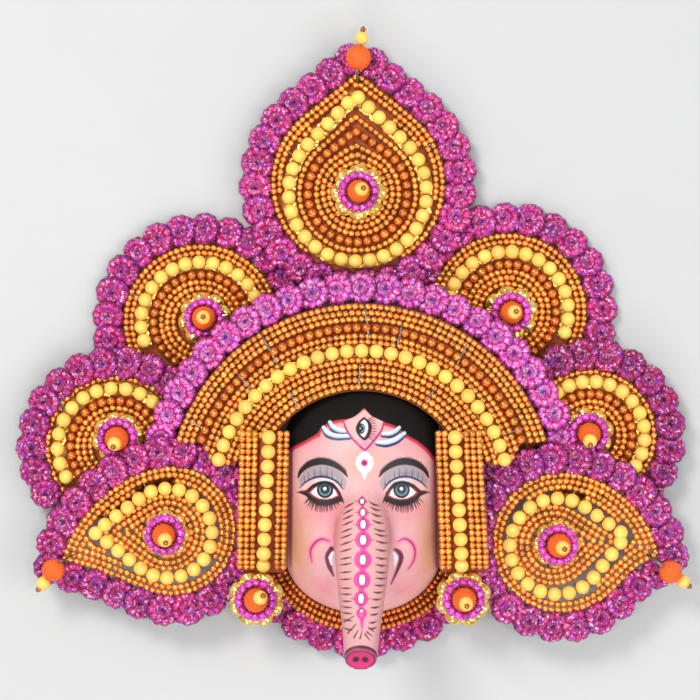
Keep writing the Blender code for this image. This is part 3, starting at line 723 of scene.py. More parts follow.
def rosette_row(heap, places, normals, tilt=0.16, tone_and_shade=(0.70, 0.17, 0.36), size=1.0):
    """Rosettes at (n,3) places, leaning a little outwards and over each other."""
    n = len(places)
    for k, form in enumerate(ROSETTES):
        pick = np.arange(n) % 4 == k
        if not pick.any():
            continue
        m = int(pick.sum())
        p, o = places[pick], normals[pick]
        lean = tilt + rng.normal(0, 0.05, m)
        up = np.column_stack([o * np.sin(lean)[:, None], np.cos(lean)])
        side = np.column_stack([-o[:, 1], o[:, 0], np.zeros(m)])
        roll = rng.normal(0.23, 0.04, m)
        up = up + side * roll[:, None]
        up /= np.linalg.norm(up, axis=1, keepdims=True)
        turns = turns_to(up, rng.uniform(0, math.tau, m))
        # the form's Z goes along up
        turns = turns[:, :, [1, 2, 0]]
        scale = size * rng.uniform(0.95, 1.04, m)
        # the tone sets the rosettes darker on the lower panels: part their redder colour, part painted shade
        tint = varied(np.array(tone_and_shade), m, 0.10, 0.06)
        heap.copies(form, turns * scale[:, None, None], p, GLITTER, tint)


# ---------------------------------------------------------------------------
# foil flower with its ring of beads, ball, bead and tip
# ---------------------------------------------------------------------------
def flower_form(r, seed, petals=8, around=112):
    own = np.random.default_rng(seed)
    t = np.linspace(0, math.tau, around, endpoint=False)
    wave = np.abs(np.cos(petals * t / 2))
    edge = r * (0.84 + 0.16 * wave ** 0.55)
    share = np.array([0.30, 0.40, 0.50, 0.58, 0.66, 0.74, 0.81, 0.87, 0.92, 0.96, 0.99, 1.0])
    rows = []
    crumple = own.normal(0, 1, (len(share), petals))
    for k, s in enumerate(share):
        dome = math.sqrt(max(0.0, 1 - ((s - 0.66) / 0.36) ** 2))
        z = 0.5 + 4.1 * dome * wave ** 0.8
        z = z - 0.9 * np.exp(-((s - 0.70) / 0.10) ** 2) * wave ** 4
        z += 0.12 * crumple[k][(np.round(petals * t / math.tau).astype(int)) % petals]
        if s > 0.995:
            z = np.full(around, 0.3)
        rows.append(np.stack([s * edge * np.cos(t), s * edge * np.sin(t), z], 1))
    points = np.vstack([[[0, 0, 0.8]], *rows, np.stack([edge * 0.96 * np.cos(t), edge * 0.96 * np.sin(t), np.full(around, -0.1)], 1), [[0, 0, -0.1]]])
    tris, quads = [], []
    under, last = 1 + len(share) * around, 1 + (len(share) + 1) * around
    for i in range(around):
        j = (i + 1) % around
        tris.append((0, 1 + i, 1 + j))
        for k in range(len(share)):
            a, b = 1 + k * around, 1 + (k + 1) * around
            quads.append((a + i, b + i, b + j, a + j))
        tris.append((last, under + j, under + i))
    return points, [np.array(quads), np.array(tris)]


def one(heap, form, place, direction, material, tint, scale=1.0, spin=0.0):
    heap.copies(form, turns_to([direction], spin) * scale, [place], material, [tint])


def boss(name, node, place, lean, foil_r, tilt=0.0, ring_r=8.9, ball=6.5, beads=14, seed=1, bead_off=None, tip_off=None, spin=0.0):
    """place is the flower's base; lean moves what is over 9 mm sideways per 10 mm."""
    heap = Heap()
    turn = np.array(Matrix.Rotation(math.radians(tilt), 3, "Y"))
    place = np.array(place, float)

    def at(x, y, z):
        rise = max(0.0, z - 9.0) / 10.0
        return place + turn @ np.array([x + lean[0] * rise, y + lean[1] * rise, z])

    petals = turn @ np.array(Matrix.Rotation(spin, 3, "Z"))
    heap.copies(flower_form(foil_r, seed), [petals], [place], GOLD, [(1.0, 0.98, 0.94)])
    around = np.linspace(0, math.tau, beads, endpoint=False) + 0.1 * seed
    spots = np.array([at(ring_r * math.cos(a), ring_r * math.sin(a), 6.0 + 0.25 * math.sin(3 * a + seed)) for a in around])
    along = frames_along(spots, True)
    heap.copies(TUFT, turns_to(along, rng.uniform(0, math.tau, beads)), spots, PURPLE, varied(PURPLE_TINT, beads, 0.15, 0.08))
    twice = np.linspace(0, math.tau, 22, endpoint=False) + 0.3
    rim = np.array([at((ring_r + 1.7) * math.cos(a), (ring_r + 1.7) * math.sin(a), 5.0) for a in twice])
    heap.copies(PURPLE_BEAD, turns_to(frames_along(rim, True), rng.uniform(0, math.tau, 22)) * 0.72, rim, PURPLE, varied(PURPLE_TINT, 22, 0.2, 0.08))
    rod(heap, spots, 0.4, WIRE, True, 5)
    one(heap, ORANGE_BALL[ball], at(0, 0, 9.3), turn @ np.array([0.15, 0.1, 1.0]), ORANGE, ORANGE_TINT, spin=0.4 * seed)
    bead, tip = at(0, 0, 17.5), at(0, 0, 22.7)
    heap_axis = tip - at(0, 0, 9.3)
    one(heap, YELLOW_BEAD, bead, heap_axis, YELLOW, YELLOW_TINT, 1.0)
    one(heap, TIP_BEAD, tip, heap_axis, COPPER, COPPER_DARK)
    rod(heap, np.array([at(0, 0, -3.6), at(0, 0, 5.0), at(0, 0, 12.0), bead, tip + (tip - bead) * 0.42]), 0.45, WIRE, False, 6)
    heap.build(name, node, slot="gold_foil")


def finial(name, node, ball, start, aim, foot):
    """Ball, bead and tip on a wire that comes from foot on the panel."""
    heap = Heap()
    start, aim = np.array(start, float), np.array(aim, float)
    aim /= np.linalg.norm(aim)
    one(heap, ORANGE_BALL[ball], start, aim, ORANGE, ORANGE_TINT, spin=0.7)
    one(heap, YELLOW_BEAD, start + aim * (ball + 3.8), aim, YELLOW, YELLOW_TINT, 0.97)
    one(heap, TIP_BEAD, start + aim * (ball + 3.8 + 4.9), aim, COPPER, COPPER_DARK, 1.05)
    foot = np.array(foot, float)
    back = start - aim * ball
    path = [foot, foot * 0.6 + back * 0.4 + (0, 0, -0.6), back, start, start + aim * (ball + 10.6)]
    rod(heap, np.array(path), 0.5, WIRE, False, 6)
    rod(heap, np.array([foot + (0.9, 0.5, 0), back + (0.5, 0.3, -0.4), back + (-0.4, -0.5, 0.6), foot + (-0.8, 0.3, 0.2)]), 0.35, WIRE, False, 5)
    heap.build(name, node, slot="orange_beads")


# ---------------------------------------------------------------------------
# cards
# ---------------------------------------------------------------------------
def card(name, node, outline, z0, z1):
    """A cut sheet with a slightly rounded, uneven edge; maroon over kraft."""
    heap = Heap()
    outline = even(outline, 1.6, True)
    if spin_of(outline) < 0:
        outline = outline[::-1]
    n = len(outline)
    ragged = rng.normal(0, 0.06, (n, 1))
    along = frames_along(outline, True)
    normal = np.stack([along[:, 1], -along[:, 0]], 1)
    rings = []
    for out, z in ((-0.35, z0), (0.0, z0 + 0.3), (0.0, z1 - 0.3), (-0.35, z1)):
        rings.append(lift(outline + normal * (out + ragged), z))
    points = np.vstack(rings)
    side = []
    for k in range(3):
        for i in range(n):
            j = (i + 1) % n
            side.append((k * n + i, k * n + j, (k + 1) * n + j, (k + 1) * n + i))
    flat = [Vector((*p, 0.0)) for p in outline]
    caps = np.array(tessellate_polygon([flat]))
    a, b, c = (outline[caps[:, k]] for k in range(3))
    u, v = b - a, c - a
    wrong = (u[:, 0] * v[:, 1] - u[:, 1] * v[:, 0]) < 0
    caps[wrong] = caps[wrong][:, ::-1]
    heap.add(points, [np.array(side), caps + 3 * n], CARD)
    heap.add(rings[0], [caps[:, ::-1]], KRAFT)
    heap.build(name, node, slot="dark_card")


# ---------------------------------------------------------------------------
# crown: petals, with the tone of their rosettes, set darker on the lower panels: part their redder colour, part painted
# shade
# ---------------------------------------------------------------------------
BOARD, GAP = 2.0, 0.3
OVER = BOARD + GAP
PETALS = {  # centre, radius, card underside, small rows out, yellow r, angles, medium r, small rows in, rosettes, boss
    "upper_left": dict(tone_and_shade=(0.68, 0.14, 0.34), c=(-84.5, 8.6), r=43.6, z=0.0, out=(41.9, 38.4), yellow=(33.3, 12.0, 198.0), medium=26.4, inner=(22.3, 18.8, 15.3),
                       border=(51.8, 14.0, 206.0), boss=(-82.3, 10.6), lean=(0.4, 0.4), foil=15.0, ball=6.5),
    "upper_right": dict(tone_and_shade=(0.68, 0.15, 0.35), c=(86.5, 14.2), r=44.2, z=0.0, out=(42.5, 39.0), yellow=(33.6, -20.0, 166.0), medium=26.7, inner=(22.6, 19.1, 15.6),
                        border=(52.2, -28.0, 152.0), boss=(87.7, 13.6), lean=(1.2, 0.3), foil=15.4, ball=6.2),
    "middle_left": dict(tone_and_shade=(0.56, 0.06, 0.23), c=(-131.1, -60.2), r=39.5, z=8.4, out=(37.8,), yellow=(32.1, 50.0, 212.0), medium=25.2, inner=(21.1, 17.6, 14.1),
                        border=(46.2, 50.0, 214.0), boss=(-129.6, -55.6), lean=(-0.3, -3.0), foil=14.6, ball=6.5),
    "middle_right": dict(tone_and_shade=(0.45, 0.0, 0.1), c=(131.4, -54.3), r=37.0, z=8.4, out=(35.3,), yellow=(30.0, -34.0, 128.0), medium=23.2, inner=(19.0, 15.5),
                         border=(44.6, -44.0, 130.0), boss=(129.8, -53.0), lean=(-0.6, -4.2), foil=14.6, ball=6.2),
}
PITCH = 13.3


def arc_row(centre, r, a0, a1):
    count = round(abs(math.radians(a1 - a0)) * r / PITCH)
    t = np.radians(np.linspace(a0, a1, count + 1))
    normal = np.stack([np.cos(t), np.sin(t)], 1)
    return np.array(centre) + r * normal, normal


def foil_strip(heap, path, z, width, closed=False):
    """Crumpled gold foil that lies between two bands, under the yellow beads."""
    path = even(path, 1.5, closed)
    along = frames_along(path, closed)
    normal = np.stack([along[:, 1], -along[:, 0]], 1)
    n = len(path)
    rows = [lift(path + normal * (w * width * (1 + 0.10 * rng.normal(0, 1, (n, 1)))), z + 0.25 + 0.22 * rng.normal(0, 1, n) * (abs(w) < 0.49) + 0.35 * (abs(w) < 0.3)) for w in (-0.5, -0.25, 0.0, 0.25, 0.5)]
    points = np.vstack(rows)
    quads = []
    for k in range(4):
        for i in range(n if closed else n - 1):
            j = (i + 1) % n
            quads.append((k * n + i, (k + 1) * n + i, (k + 1) * n + j, k * n + j))
    quads = np.array(quads)
    a, b, c = (points[quads[:, m]] for m in range(3))
    if np.cross(b - a, c - a)[:, 2].sum() < 0:
        quads = quads[:, ::-1]
    heap.add(points, [quads], GOLD, (0.56, 0.4, 0.26))


for side, p in PETALS.items():
    c, z = p["c"], p["z"] + OVER
    low = z + SMALL_R + 0.05
    card(side + "_panel", side + "_card", arc(c, p["r"] + 1.2, 0, 360, 150)[:-1], p["z"], p["z"] + BOARD)
    heap = Heap()
    for r in p["out"]:
        string_of(heap, lift(arc(c, r, 0, 360, 160)[:-1], low), True)
    heap.build(side + "_copper_outer", side + "_rows_outer", slot="copper_beads")
    heap = Heap()
    string_of(heap, lift(arc(c, p["medium"], 0, 360, 160)[:-1], z + 2.5), True, "medium")
    for r in p["inner"]:
        string_of(heap, lift(arc(c, r, 0, 360, 160)[:-1], low), True)
    heap.build(side + "_copper_inner", side + "_rows_inner", slot="copper_beads")
    heap = Heap()
    r, a0, a1 = p["yellow"]
    wide = math.degrees(4.0 / r)
    string_of(heap, lift(arc(c, r, a0 - wide, a1 + wide, 140), z + 3.9), False, "yellow")
    foil_strip(heap, arc(c, r, a0 - wide, a1 + wide, 140), z - 0.2, 7.6)
    heap.build(side + "_yellow_beads", side + "_yellow_string", slot="yellow_beads")
    heap = Heap()
    flat, normal = arc_row(c, *p["border"])
    rosette_row(heap, lift(flat, z + 0.8 + 0.5 * (np.arange(len(flat)) % 2)), normal, tone_and_shade=p["tone_and_shade"])
    heap.build(side + "_foil_rosettes", side + "_rosettes", slot="glitter_foil")
    boss(side + "_flower", side + "_boss", (*p["boss"], p["z"] + OVER + 3.6), p["lean"], p["foil"], ball=p["ball"], seed=len(side) + int(p["r"]), spin=0.2)

# ---------------------------------------------------------------------------
# crown: top panel
# ---------------------------------------------------------------------------
TOP_Z = 6.0
z = TOP_Z + OVER
low = z + SMALL_R + 0.05
outline = drop((2.9, 85.3), 48.6, (2.9, 147.5))
yellow_loop = drop((2.7, 80.3), 38.2, (1.6, 134.2))
card("top_panel", "top_card", offset(outline, 1.2), TOP_Z, TOP_Z + BOARD)
heap = Heap()
for k in range(5):
    line = offset(outline, -1.7 - 3.5 * k)
    if len(line) < 8:
        continue
    line = even(line, 1.2, True)
    keep = (away(line, yellow_loop) > 4.55) & ~inside(line, yellow_loop)
    for run, closed in runs_of(line, keep, True):
        string_of(heap, lift(run, low), closed)
    if not keep.any():
        break
heap.build("top_copper_outer", "top_rows_outer", slot="copper_beads")
heap = Heap()
string_of(heap, lift(drop((2.7, 80.3), 27.5, (1.6, 114.4)), z + 2.5), True, "medium")
for r, tip in ((32.2, 122.4), (22.9, 106.6), (19.3, 101.6), (15.8, 97.2)):
    string_of(heap, lift(drop((2.7, 80.3), r, (1.5, tip)), low), True)
heap.build("top_copper_inner", "top_rows_inner", slot="copper_beads")
heap = Heap()
string_of(heap, lift(yellow_loop, z + 3.9), True, "yellow")
foil_strip(heap, yellow_loop, z - 0.2, 7.4, True)
heap.build("top_yellow_beads", "top_yellow_string", slot="yellow_beads")


def around_row(loop, by):
    line = even(offset(loop, by), 1.0, True)
    total = np.linalg.norm(np.roll(line, -1, 0) - line, axis=1).sum()
    flat = even(line, total / max(2, round(total / PITCH)), True)
    along = frames_along(flat, True)
    normal = np.stack([along[:, 1], -along[:, 0]], 1) * spin_of(flat)
    return flat, normal


heap = Heap()
flat, normal = around_row(outline, 8.2)
rosette_row(heap, lift(flat, z + 0.3 + 0.5 * (np.arange(len(flat)) % 2)), normal)
heap.build("top_foil_rosettes", "top_rosettes", slot="glitter_foil")
boss("top_flower", "top_boss", (3.2, 80.3, TOP_Z + OVER + 3.6), (1.9, 0.6), 15.8, seed=5, ball=6.2)
finial("top_spike", "top_finial", 6.9, (3.2, 153.9, 19.2), (0.16, 1.0, 0.03), (2.9, 140.0, 9.4))

# ---------------------------------------------------------------------------
# ear panels: open bead work on wire
# ---------------------------------------------------------------------------
EARS = {
    "left": dict(c=(-98.9, -106.0), z=23.4, side=-1, out=(36.0, (-160.5, -123.6)), yellow=(24.4, (-101.2, -107.2), (-141.5, -107.0)),
                 inner=(18.4, (-101.6, -106.9), (-134.6, -105.9)), boss=(-102.1, -107.6), lean=(2.4, -2.2), foil=13.4, ball=6.2),
    "right": dict(c=(114.4, -112.4), z=23.4, side=1, out=(39.0, (168.8, -121.4)), yellow=(26.2, (112.0, -114.4), (149.6, -108.8)),
                  inner=(19.4, (109.6, -113.7), (141.0, -110.6)), boss=(111.4, -113.2), lean=(0.6, -0.6), foil=13.4, ball=6.5),
}
LEAN = 4.0


def ear_height(ear, x, z):
    """z over the panel's plane, at x in the mask's own frame."""
    return ear["z"] + z - (x - ear["c"][0]) * math.tan(math.radians(LEAN)) * ear["side"]


def on_ear(ear, flat, z):
    return np.column_stack([flat, ear_height(ear, flat[:, 0], z)])


for side, ear in EARS.items():
    outline = leaf(ear["c"], *ear["out"], ear["side"])
    r, c, tip = ear["yellow"]
    loop = drop(c, r, tip)
    heap = Heap()
    for k in range(9):
        line = offset(outline, -1.9 - 3.35 * k)
        if len(line) < 8:
            break
        line = even(line, 1.2, True)
        keep = (away(line, loop) > 4.3) & ~inside(line, loop)
        for run, closed in runs_of(line, keep, True):
            string_of(heap, on_ear(ear, run, SMALL_R + 0.05), closed)
        if not keep.any():
            break
    # carrying wires across the back
    for turn in np.radians((25, 70, 115, 160, 205, 250, 295, 340)):
        way = np.array([math.cos(turn), math.sin(turn)])
        near, far = np.array(ear["boss"]) + way * 9.0, np.array(ear["boss"]) + way * (ear["out"][0] + 4.0)
        path = np.array([near + (far - near) * s for s in np.linspace(0, 1, 8)])
        rod(heap, on_ear(ear, path, -0.45), 0.45, WIRE, False, 5)
    for by in (-3.8, 0.4):
        rod(heap, on_ear(ear, even(offset(outline, by), 3.0, True), -0.3), 0.45, WIRE, True, 5)
    heap.build("ear_" + side + "_copper_outer", "ear_" + side + "_rows_outer", slot="copper_beads")
    heap = Heap()
    string_of(heap, on_ear(ear, loop, 3.9), True, "yellow")
    foil_strip(heap, loop, 0.0, 3.4, True)
    heap.points[-1] = on_ear(ear, heap.points[-1][:, :2], 0.5) + np.column_stack([np.zeros((len(heap.points[-1]), 2)), rng.normal(0, 0.15, len(heap.points[-1]))])
    heap.build("ear_" + side + "_yellow_beads", "ear_" + side + "_yellow_string", slot="yellow_beads")
    heap = Heap()
    r, c2, tip2 = ear["inner"]
    band = drop(c2, r, tip2)
    for k in range(4):
        line = offset(band, 1.5 - 3.45 * k)
        if len(line) < 8:
            break
        line = even(line, 1.2, True)
        keep = np.linalg.norm(line - np.array(ear["boss"]), axis=1) > 12.2
        for run, closed in runs_of(line, keep, True):
            string_of(heap, on_ear(ear, run, SMALL_R + 0.05), closed, calm=True)
    heap.build("ear_" + side + "_copper_inner", "ear_" + side + "_rows_inner", slot="copper_beads")
    heap = Heap()
    flat, normal = around_row(outline, 7.2)
    rosette_row(heap, on_ear(ear, flat, 0.2) + np.column_stack([np.zeros((len(flat), 2)), 0.5 * (np.arange(len(flat)) % 2)]), normal, tone_and_shade=(0.62, 0.12, 0.3))
    if side == "right":  # one more fills the corner beside the bead column
        rosette_row(heap, np.array([(77.8, -72.6, 23.6)]), np.array([(-0.68, 0.73)]), tone_and_shade=(0.62, 0.12, 0.3), size=0.98)
    heap.build("ear_" + side + "_foil_rosettes", "ear_" + side + "_rosettes", slot="glitter_foil")
    base = ear["boss"]
    boss("ear_" + side + "_flower", "ear_" + side + "_boss", (*base, ear_height(ear, base[0], 3.8)), ear["lean"], ear["foil"],
         tilt=LEAN * ear["side"], ring_r=8.8, ball=ear["ball"], beads=14, seed=7 + ear["side"])

finial("ear_left_spike", "ear_left_finial", 6.2, (-163.4, -127.1, 29.6), (-0.62, -0.78, -0.34), (-152.0, -119.0, 21.5))
finial("ear_right_spike", "ear_right_finial", 6.2, (173.4, -128.1, 29.6), (0.80, -0.60, -0.40), (161.0, -119.0, 21.5))

# ---------------------------------------------------------------------------
# arch
# ---------------------------------------------------------------------------
ARCH_C = np.array([4.8, -87.8])
ARCH_IN, ARCH_OUT, CUT_Y = 57.2, 106.4, -54.4


def arch_z(r):
    return 21.2 + (ARCH_OUT - r) * (37.6 - 21.2) / (ARCH_OUT - ARCH_IN)


def arch_line(r, over, left_y=CUT_Y, right_y=CUT_Y, steps=220, margin=1.6):
    a0 = math.degrees(math.asin((right_y - ARCH_C[1] + margin) / r))
    a1 = 180.0 - math.degrees(math.asin((left_y - ARCH_C[1] + margin) / r))
    return lift(arc(ARCH_C, r, a0, a1, steps), arch_z(r) + over)


heap = Heap()
steps, rings = 160, 12
grid = []
for k in range(rings):
    r = ARCH_IN + 1.4 + (ARCH_OUT - ARCH_IN - 1.4) * k / (rings - 1)
    grid.append(arch_line(r, 0.0, steps=steps - 1, margin=float(np.interp(r, (66.0, 70.0, 84.0, 91.0), (-3.2, -15.4, -15.0, -3.2)))))
for over, material, flip in ((BOARD, CARD, False), (0.0, KRAFT, True)):
    points = np.vstack([g + (0, 0, over) for g in grid])
    quads = []
    for k in range(rings - 1):
        for i in range(steps - 1):
            q = (k * steps + i, (k + 1) * steps + i, (k + 1) * steps + i + 1, k * steps + i + 1)
            quads.append(q[::-1] if flip else q)
    heap.add(points, [np.array(quads)], material)
rim = [*[(0, i) for i in range(steps)], *[(k, steps - 1) for k in range(1, rings)], *[(rings - 1, i) for i in range(steps - 2, -1, -1)], *[(k, 0) for k in range(rings - 2, 0, -1)]]
points = np.array([grid[k][i] for k, i in rim])
n = len(points)
quads = [(i, i + n, (i + 1) % n + n, (i + 1) % n) for i in range(n)]
heap.add(np.vstack([points, points + (0, 0, BOARD)]), [np.array(quads)], CARD, flat=True)
heap.build("arch_panel", "arch_card", slot="dark_card")

heap = Heap()
for r, over_end in ((104.5, -3.0), (101.0, -3.6), (97.5, -3.6)):
    string_of(heap, arch_line(r, OVER + SMALL_R, margin=over_end), False)
string_of(heap, arch_line(92.8, OVER + 2.5, margin=-3.8), False, "medium")
for r, over_end in ((88.3, -8.0), (84.9, -12.4)):
    string_of(heap, arch_line(r, OVER + SMALL_R, margin=over_end), False)
heap.build("arch_copper_outer", "arch_rows_outer", slot="copper_beads")
heap = Heap()
for r, over_end in ((75.2, -15.2), (71.6, -13.2), (68.0, -2.0), (64.4, -0.4), (60.8, 1.0)):
    string_of(heap, arch_line(r, OVER + SMALL_R, margin=over_end), False)
heap.build("arch_copper_inner", "arch_rows_inner", slot="copper_beads")
heap = Heap()
string_of(heap, arch_line(80.4, OVER + 4.3, margin=-16.0), False, "yellow")
foil_strip(heap, arch_line(80.4, 0.0, margin=-10.0)[:, :2], 0.0, 6.8)
strip = heap.points[-1]
reach = np.linalg.norm(strip[:, :2] - ARCH_C, axis=1)
heap.points[-1] = np.column_stack([strip[:, :2], arch_z(reach) + BOARD + 0.45 + strip[:, 2]])
heap.build("arch_yellow_beads", "arch_yellow_string", slot="yellow_beads")
heap = Heap()
flat, normal = arc_row(ARCH_C, 114.8, 16.5, 163.5)
dive = np.clip((-46.0 - flat[:, 1]) / 12.0, 0, 1) * 2.2
rosette_row(heap, lift(flat, 20.3 + 0.5 * (np.arange(len(flat)) % 2) - dive), normal, tilt=0.2, tone_and_shade=(1.0, 1.0, 1.0))
heap.build("arch_foil_rosettes", "arch_rosettes", slot="glitter_foil")

# ---------------------------------------------------------------------------
# bead columns and the flowers under them
# ---------------------------------------------------------------------------
TOP_Y = -54.9
HANG = np.array([(4.0, 43.6), (0.0, 40.6), (-30.0, 40.4), (-54.0, 40.4), (-62.0, 39.2), (-67.5, 36.6), (-71.0, 33.2)])


def hanging(x, drift, start=4.0, end=-71.0, over=0.0):
    run = np.linspace(start, end, 60)
    zs = np.interp(-run, -HANG[:, 0], HANG[:, 1])
    for _ in range(3):
        zs[1:-1] = 0.25 * zs[:-2] + 0.5 * zs[1:-1] + 0.25 * zs[2:]
    return np.column_stack([x + drift * run / -71.0, TOP_Y + run, zs + over])


for name, x, drift, spots in (("left_outer", -56.3, -1.6, (-3.4, 0.0, 3.4)), ("left_inner", -37.6, -2.0, (-1.7, 1.7)),
                              ("right_inner", 48.0, 2.6, (-1.7, 1.7)), ("right_outer", 64.7, 4.2, (-3.4, 0.0, 3.4))):
    heap = Heap()
    for k, shift in enumerate(spots):
        string_of(heap, hanging(x + shift, drift), False)
    heap.build("column_" + name + "_beads", "column_" + name, slot="copper_beads")
for side, x, drift in (("left", -45.4, -3.0), ("right", 55.2, 3.8)):
    heap = Heap()
    string_of(heap, hanging(x, drift * 71.0 / 66.6, 4.0, -72.6, 0.9), False, "yellow")
    for shift in (-5.2, 5.2):
        rod(heap, hanging(x + shift * 0.98, drift, -1.0, -66.0, -2.6)[::3], 0.55, THREAD, False, 5)
    heap.build("column_" + side + "_yellow_beads", "column_" + side + "_yellow_string", slot="yellow_beads")
for side, x0, drift in (("left", -47.6, -2.0), ("right", 57.0, 3.4)):
    heap = Heap()
    line = hanging(x0, drift, 2.0, -73.5, -2.5)
    across = np.linspace(-12.4, 12.4, 9)
    sag = 0.35 * np.cos(across / 12.4 * math.pi * 2)
    rows = [line + (w, 0.0, h) for w, h in zip(across, sag)]
    n = len(line)
    under = [row - (0, 0, 0.7) for row in rows]
    points = np.vstack(rows + under)
    quads = []
    for k in range(len(rows) - 1):
        for i in range(n - 1):
            quads.append((k * n + i, k * n + i + 1, (k + 1) * n + i + 1, (k + 1) * n + i))
            m = (len(rows) + k) * n
            quads.append((m + i, m + n + i, m + n + i + 1, m + i + 1))
    last = len(rows) - 1
    for i in range(n - 1):
        a, b = i, len(rows) * n + i
        quads.append((a, b, b + 1, a + 1))
        a, b = last * n + i, (len(rows) + last) * n + i
        quads.append((a, a + 1, b + 1, b))
    for k in range(len(rows) - 1):
        a, b = k * n, (len(rows) + k) * n
        quads.append((a, a + n, b + n, b))
        quads.append((a + n - 1, b + n - 1, b + 2 * n - 1, a + 2 * n - 1))
    quads = np.array(quads)
    a, b, c = (points[quads[0]][k] for k in range(3))
    if np.cross(b - a, c - a)[2] < 0:
        quads = quads[:, ::-1]
    heap.add(points, [quads], CARD)
    heap.build("column_" + side + "_backing", slot="dark_card")
boss("earring_left_flower", "earring_left", (-52.6, -142.6, 31.2), (3.4, 3.0), 15.6, ball=6.5, seed=11, ring_r=9.1, spin=0.39)
boss("earring_right_flower", "earring_right", (60.3, -142.2, 31.2), (0.6, -1.4), 15.6, ball=6.5, seed=12, ring_r=9.1, spin=0.3)

# ---------------------------------------------------------------------------
# jaw
# ---------------------------------------------------------------------------
FACE_X = 5.5
JAW_Y, JAW_A, JAW_B = -118.8, 43.0, 33.2
heap = Heap()
for out in (2.0, 5.5, 9.0):
    string_of(heap, lift(arc((FACE_X, JAW_Y), JAW_A + out, 196.0, 344.0, 160, JAW_B + out), 13.2 + SMALL_R), False, "fine")
inner_edge, outer_edge = (arc((FACE_X, JAW_Y), JAW_A + out, 194.0, 346.0, 120, JAW_B + out) for out in (0.2, 10.9))
n = len(inner_edge)
points = np.vstack([lift(inner_edge, 13.2), lift(outer_edge, 13.2), lift(inner_edge, 12.5), lift(outer_edge, 12.5)])
quads = []
for i in range(n - 1):
    quads += [(i, n + i, n + i + 1, i + 1), (2 * n + i, 2 * n + i + 1, 3 * n + i + 1, 3 * n + i), (n + i, 3 * n + i, 3 * n + i + 1, n + i + 1), (i, i + 1, 2 * n + i + 1, 2 * n + i)]
quads += [(0, 2 * n, 3 * n, n), (n - 1, 2 * n - 1, 4 * n - 1, 3 * n - 1)]
heap.add(points, [np.array(quads)], CARD)
heap.build("jaw_copper", "jaw_rows", slot="copper_beads")
heap = Heap()
line = arc((FACE_X, JAW_Y), JAW_A + 16.4, 338.0, 202.0, 200, JAW_B + 16.4)
total = np.linalg.norm(np.diff(line, axis=0), axis=1).sum()
count = max(2, round(total / 14.2))
at = np.concatenate([[0], np.cumsum(np.linalg.norm(np.diff(line, axis=0), axis=1))])
places = np.linspace(0, total, count + 1)
flat = np.column_stack([np.interp(places, at, line[:, k]) for k in (0, 1)])
normal = np.column_stack([flat[:, 0] - FACE_X, (flat[:, 1] - JAW_Y) * 1.25])
normal /= np.linalg.norm(normal, axis=1, keepdims=True)
rosette_row(heap, lift(flat, 8.4 + 0.5 * (np.arange(len(flat)) % 2)), normal, tone_and_shade=(0.66, 0.0, 0.2), size=1.04)
heap.build("chin_foil_rosettes", "chin_rosettes", slot="glitter_foil")

# ---------------------------------------------------------------------------
# wires that bind the bands
# ---------------------------------------------------------------------------
heap = Heap()


def from_picture(u, v, z):
    """Mask-frame place of a picture point at a height."""
    s = (EYE[2] - z) / FOCAL
    return np.array([EYE[0] + (u - 350) * s - SHIFT[0], EYE[1] - (v - 350) * s - SHIFT[1], z])


def binding(a, b, top, dip=2.0, on_arch=True, r=0.27):
    """A wire laid over a band from picture point a to b, its ends pushed between the beads."""
    path = []
    for s in np.linspace(0, 1, 14):
        u, v = a[0] + (b[0] - a[0]) * s, a[1] + (b[1] - a[1]) * s
        z = top
        for _ in range(3):
            place = from_picture(u, v, z)
            if on_arch:
                z = arch_z(float(np.linalg.norm(place[:2] - ARCH_C))) + OVER + 2 * SMALL_R + 0.25
        place[2] = z - dip * abs(2 * s - 1) ** 6 + 0.12 * math.sin(9 * s)
        path.append(place)
    rod(heap, np.array(path), r, WIRE, False, 6)
    rod(heap, np.array(path) + (0.5, 0.2, -0.25), r * 0.8, WIRE, False, 5)


for a, b in (((364, 305), (369, 340)), ((360, 360), (358.5, 389)), ((261, 335), (279, 368)), ((185, 419), (209, 432)), ((287, 389), (299, 409)),
             ((468, 341), (456, 367)), ((435, 389), (425, 401)), ((503, 435), (527, 427)), ((236, 372), (252, 392)), ((402, 322), (397, 348))):
    binding(a, b, 30.0)
for a, b, top in (((58, 395), (65, 411), 14.3), ((148, 392), (158, 381), 14.3), ((252, 262), (262, 272), 5.9), ((441, 262), (451, 254), 5.9),
                  ((286, 150), (296, 158), 11.9), ((424, 150), (432, 143), 11.9), ((128, 292), (138, 297), 5.9), ((640, 396), (650, 388), 14.3)):
    binding(a, b, top, on_arch=False)
for a, b in (((220, 462), (226, 485)), ((492, 470), (497, 486))):
    binding(a, b, 27.2, on_arch=False)
heap.build("binding_wires", slot="thin_wire")

# ---------------------------------------------------------------------------
# face with its trunk
# ---------------------------------------------------------------------------
BROW_Y, BROW_A, BROW_B = -62.5, 44.0, 41.0
MID_Y = -88.0
SIDE_Z, FRONT_Z, WALL = 18.0, 55.0, 3.6
FEATURES = [(0.0, -58.0, 2.0, 20.0, 12.0), (-21.0, -84.0, -2.4, 9.0, 7.0), (21.0, -84.0, -2.4, 9.0, 7.0),
            (-21.0, -116.0, 3.4, 13.0, 15.0), (21.0, -116.0, 3.4, 13.0, 15.0), (0.0, -92.0, 3.0, 8.0, 14.0)]
TRUNK = np.array([(-84.0, 46.0, 9.0), (-95.0, 52.0, 13.2), (-109.0, 59.0, 15.0), (-121.0, 66.0, 14.2), (-132.0, 74.0, 12.8),
                  (-143.0, 83.0, 11.2), (-152.0, 91.5, 9.9), (-159.0, 98.6, 9.1), (-164.8, 105.0, 8.6)])


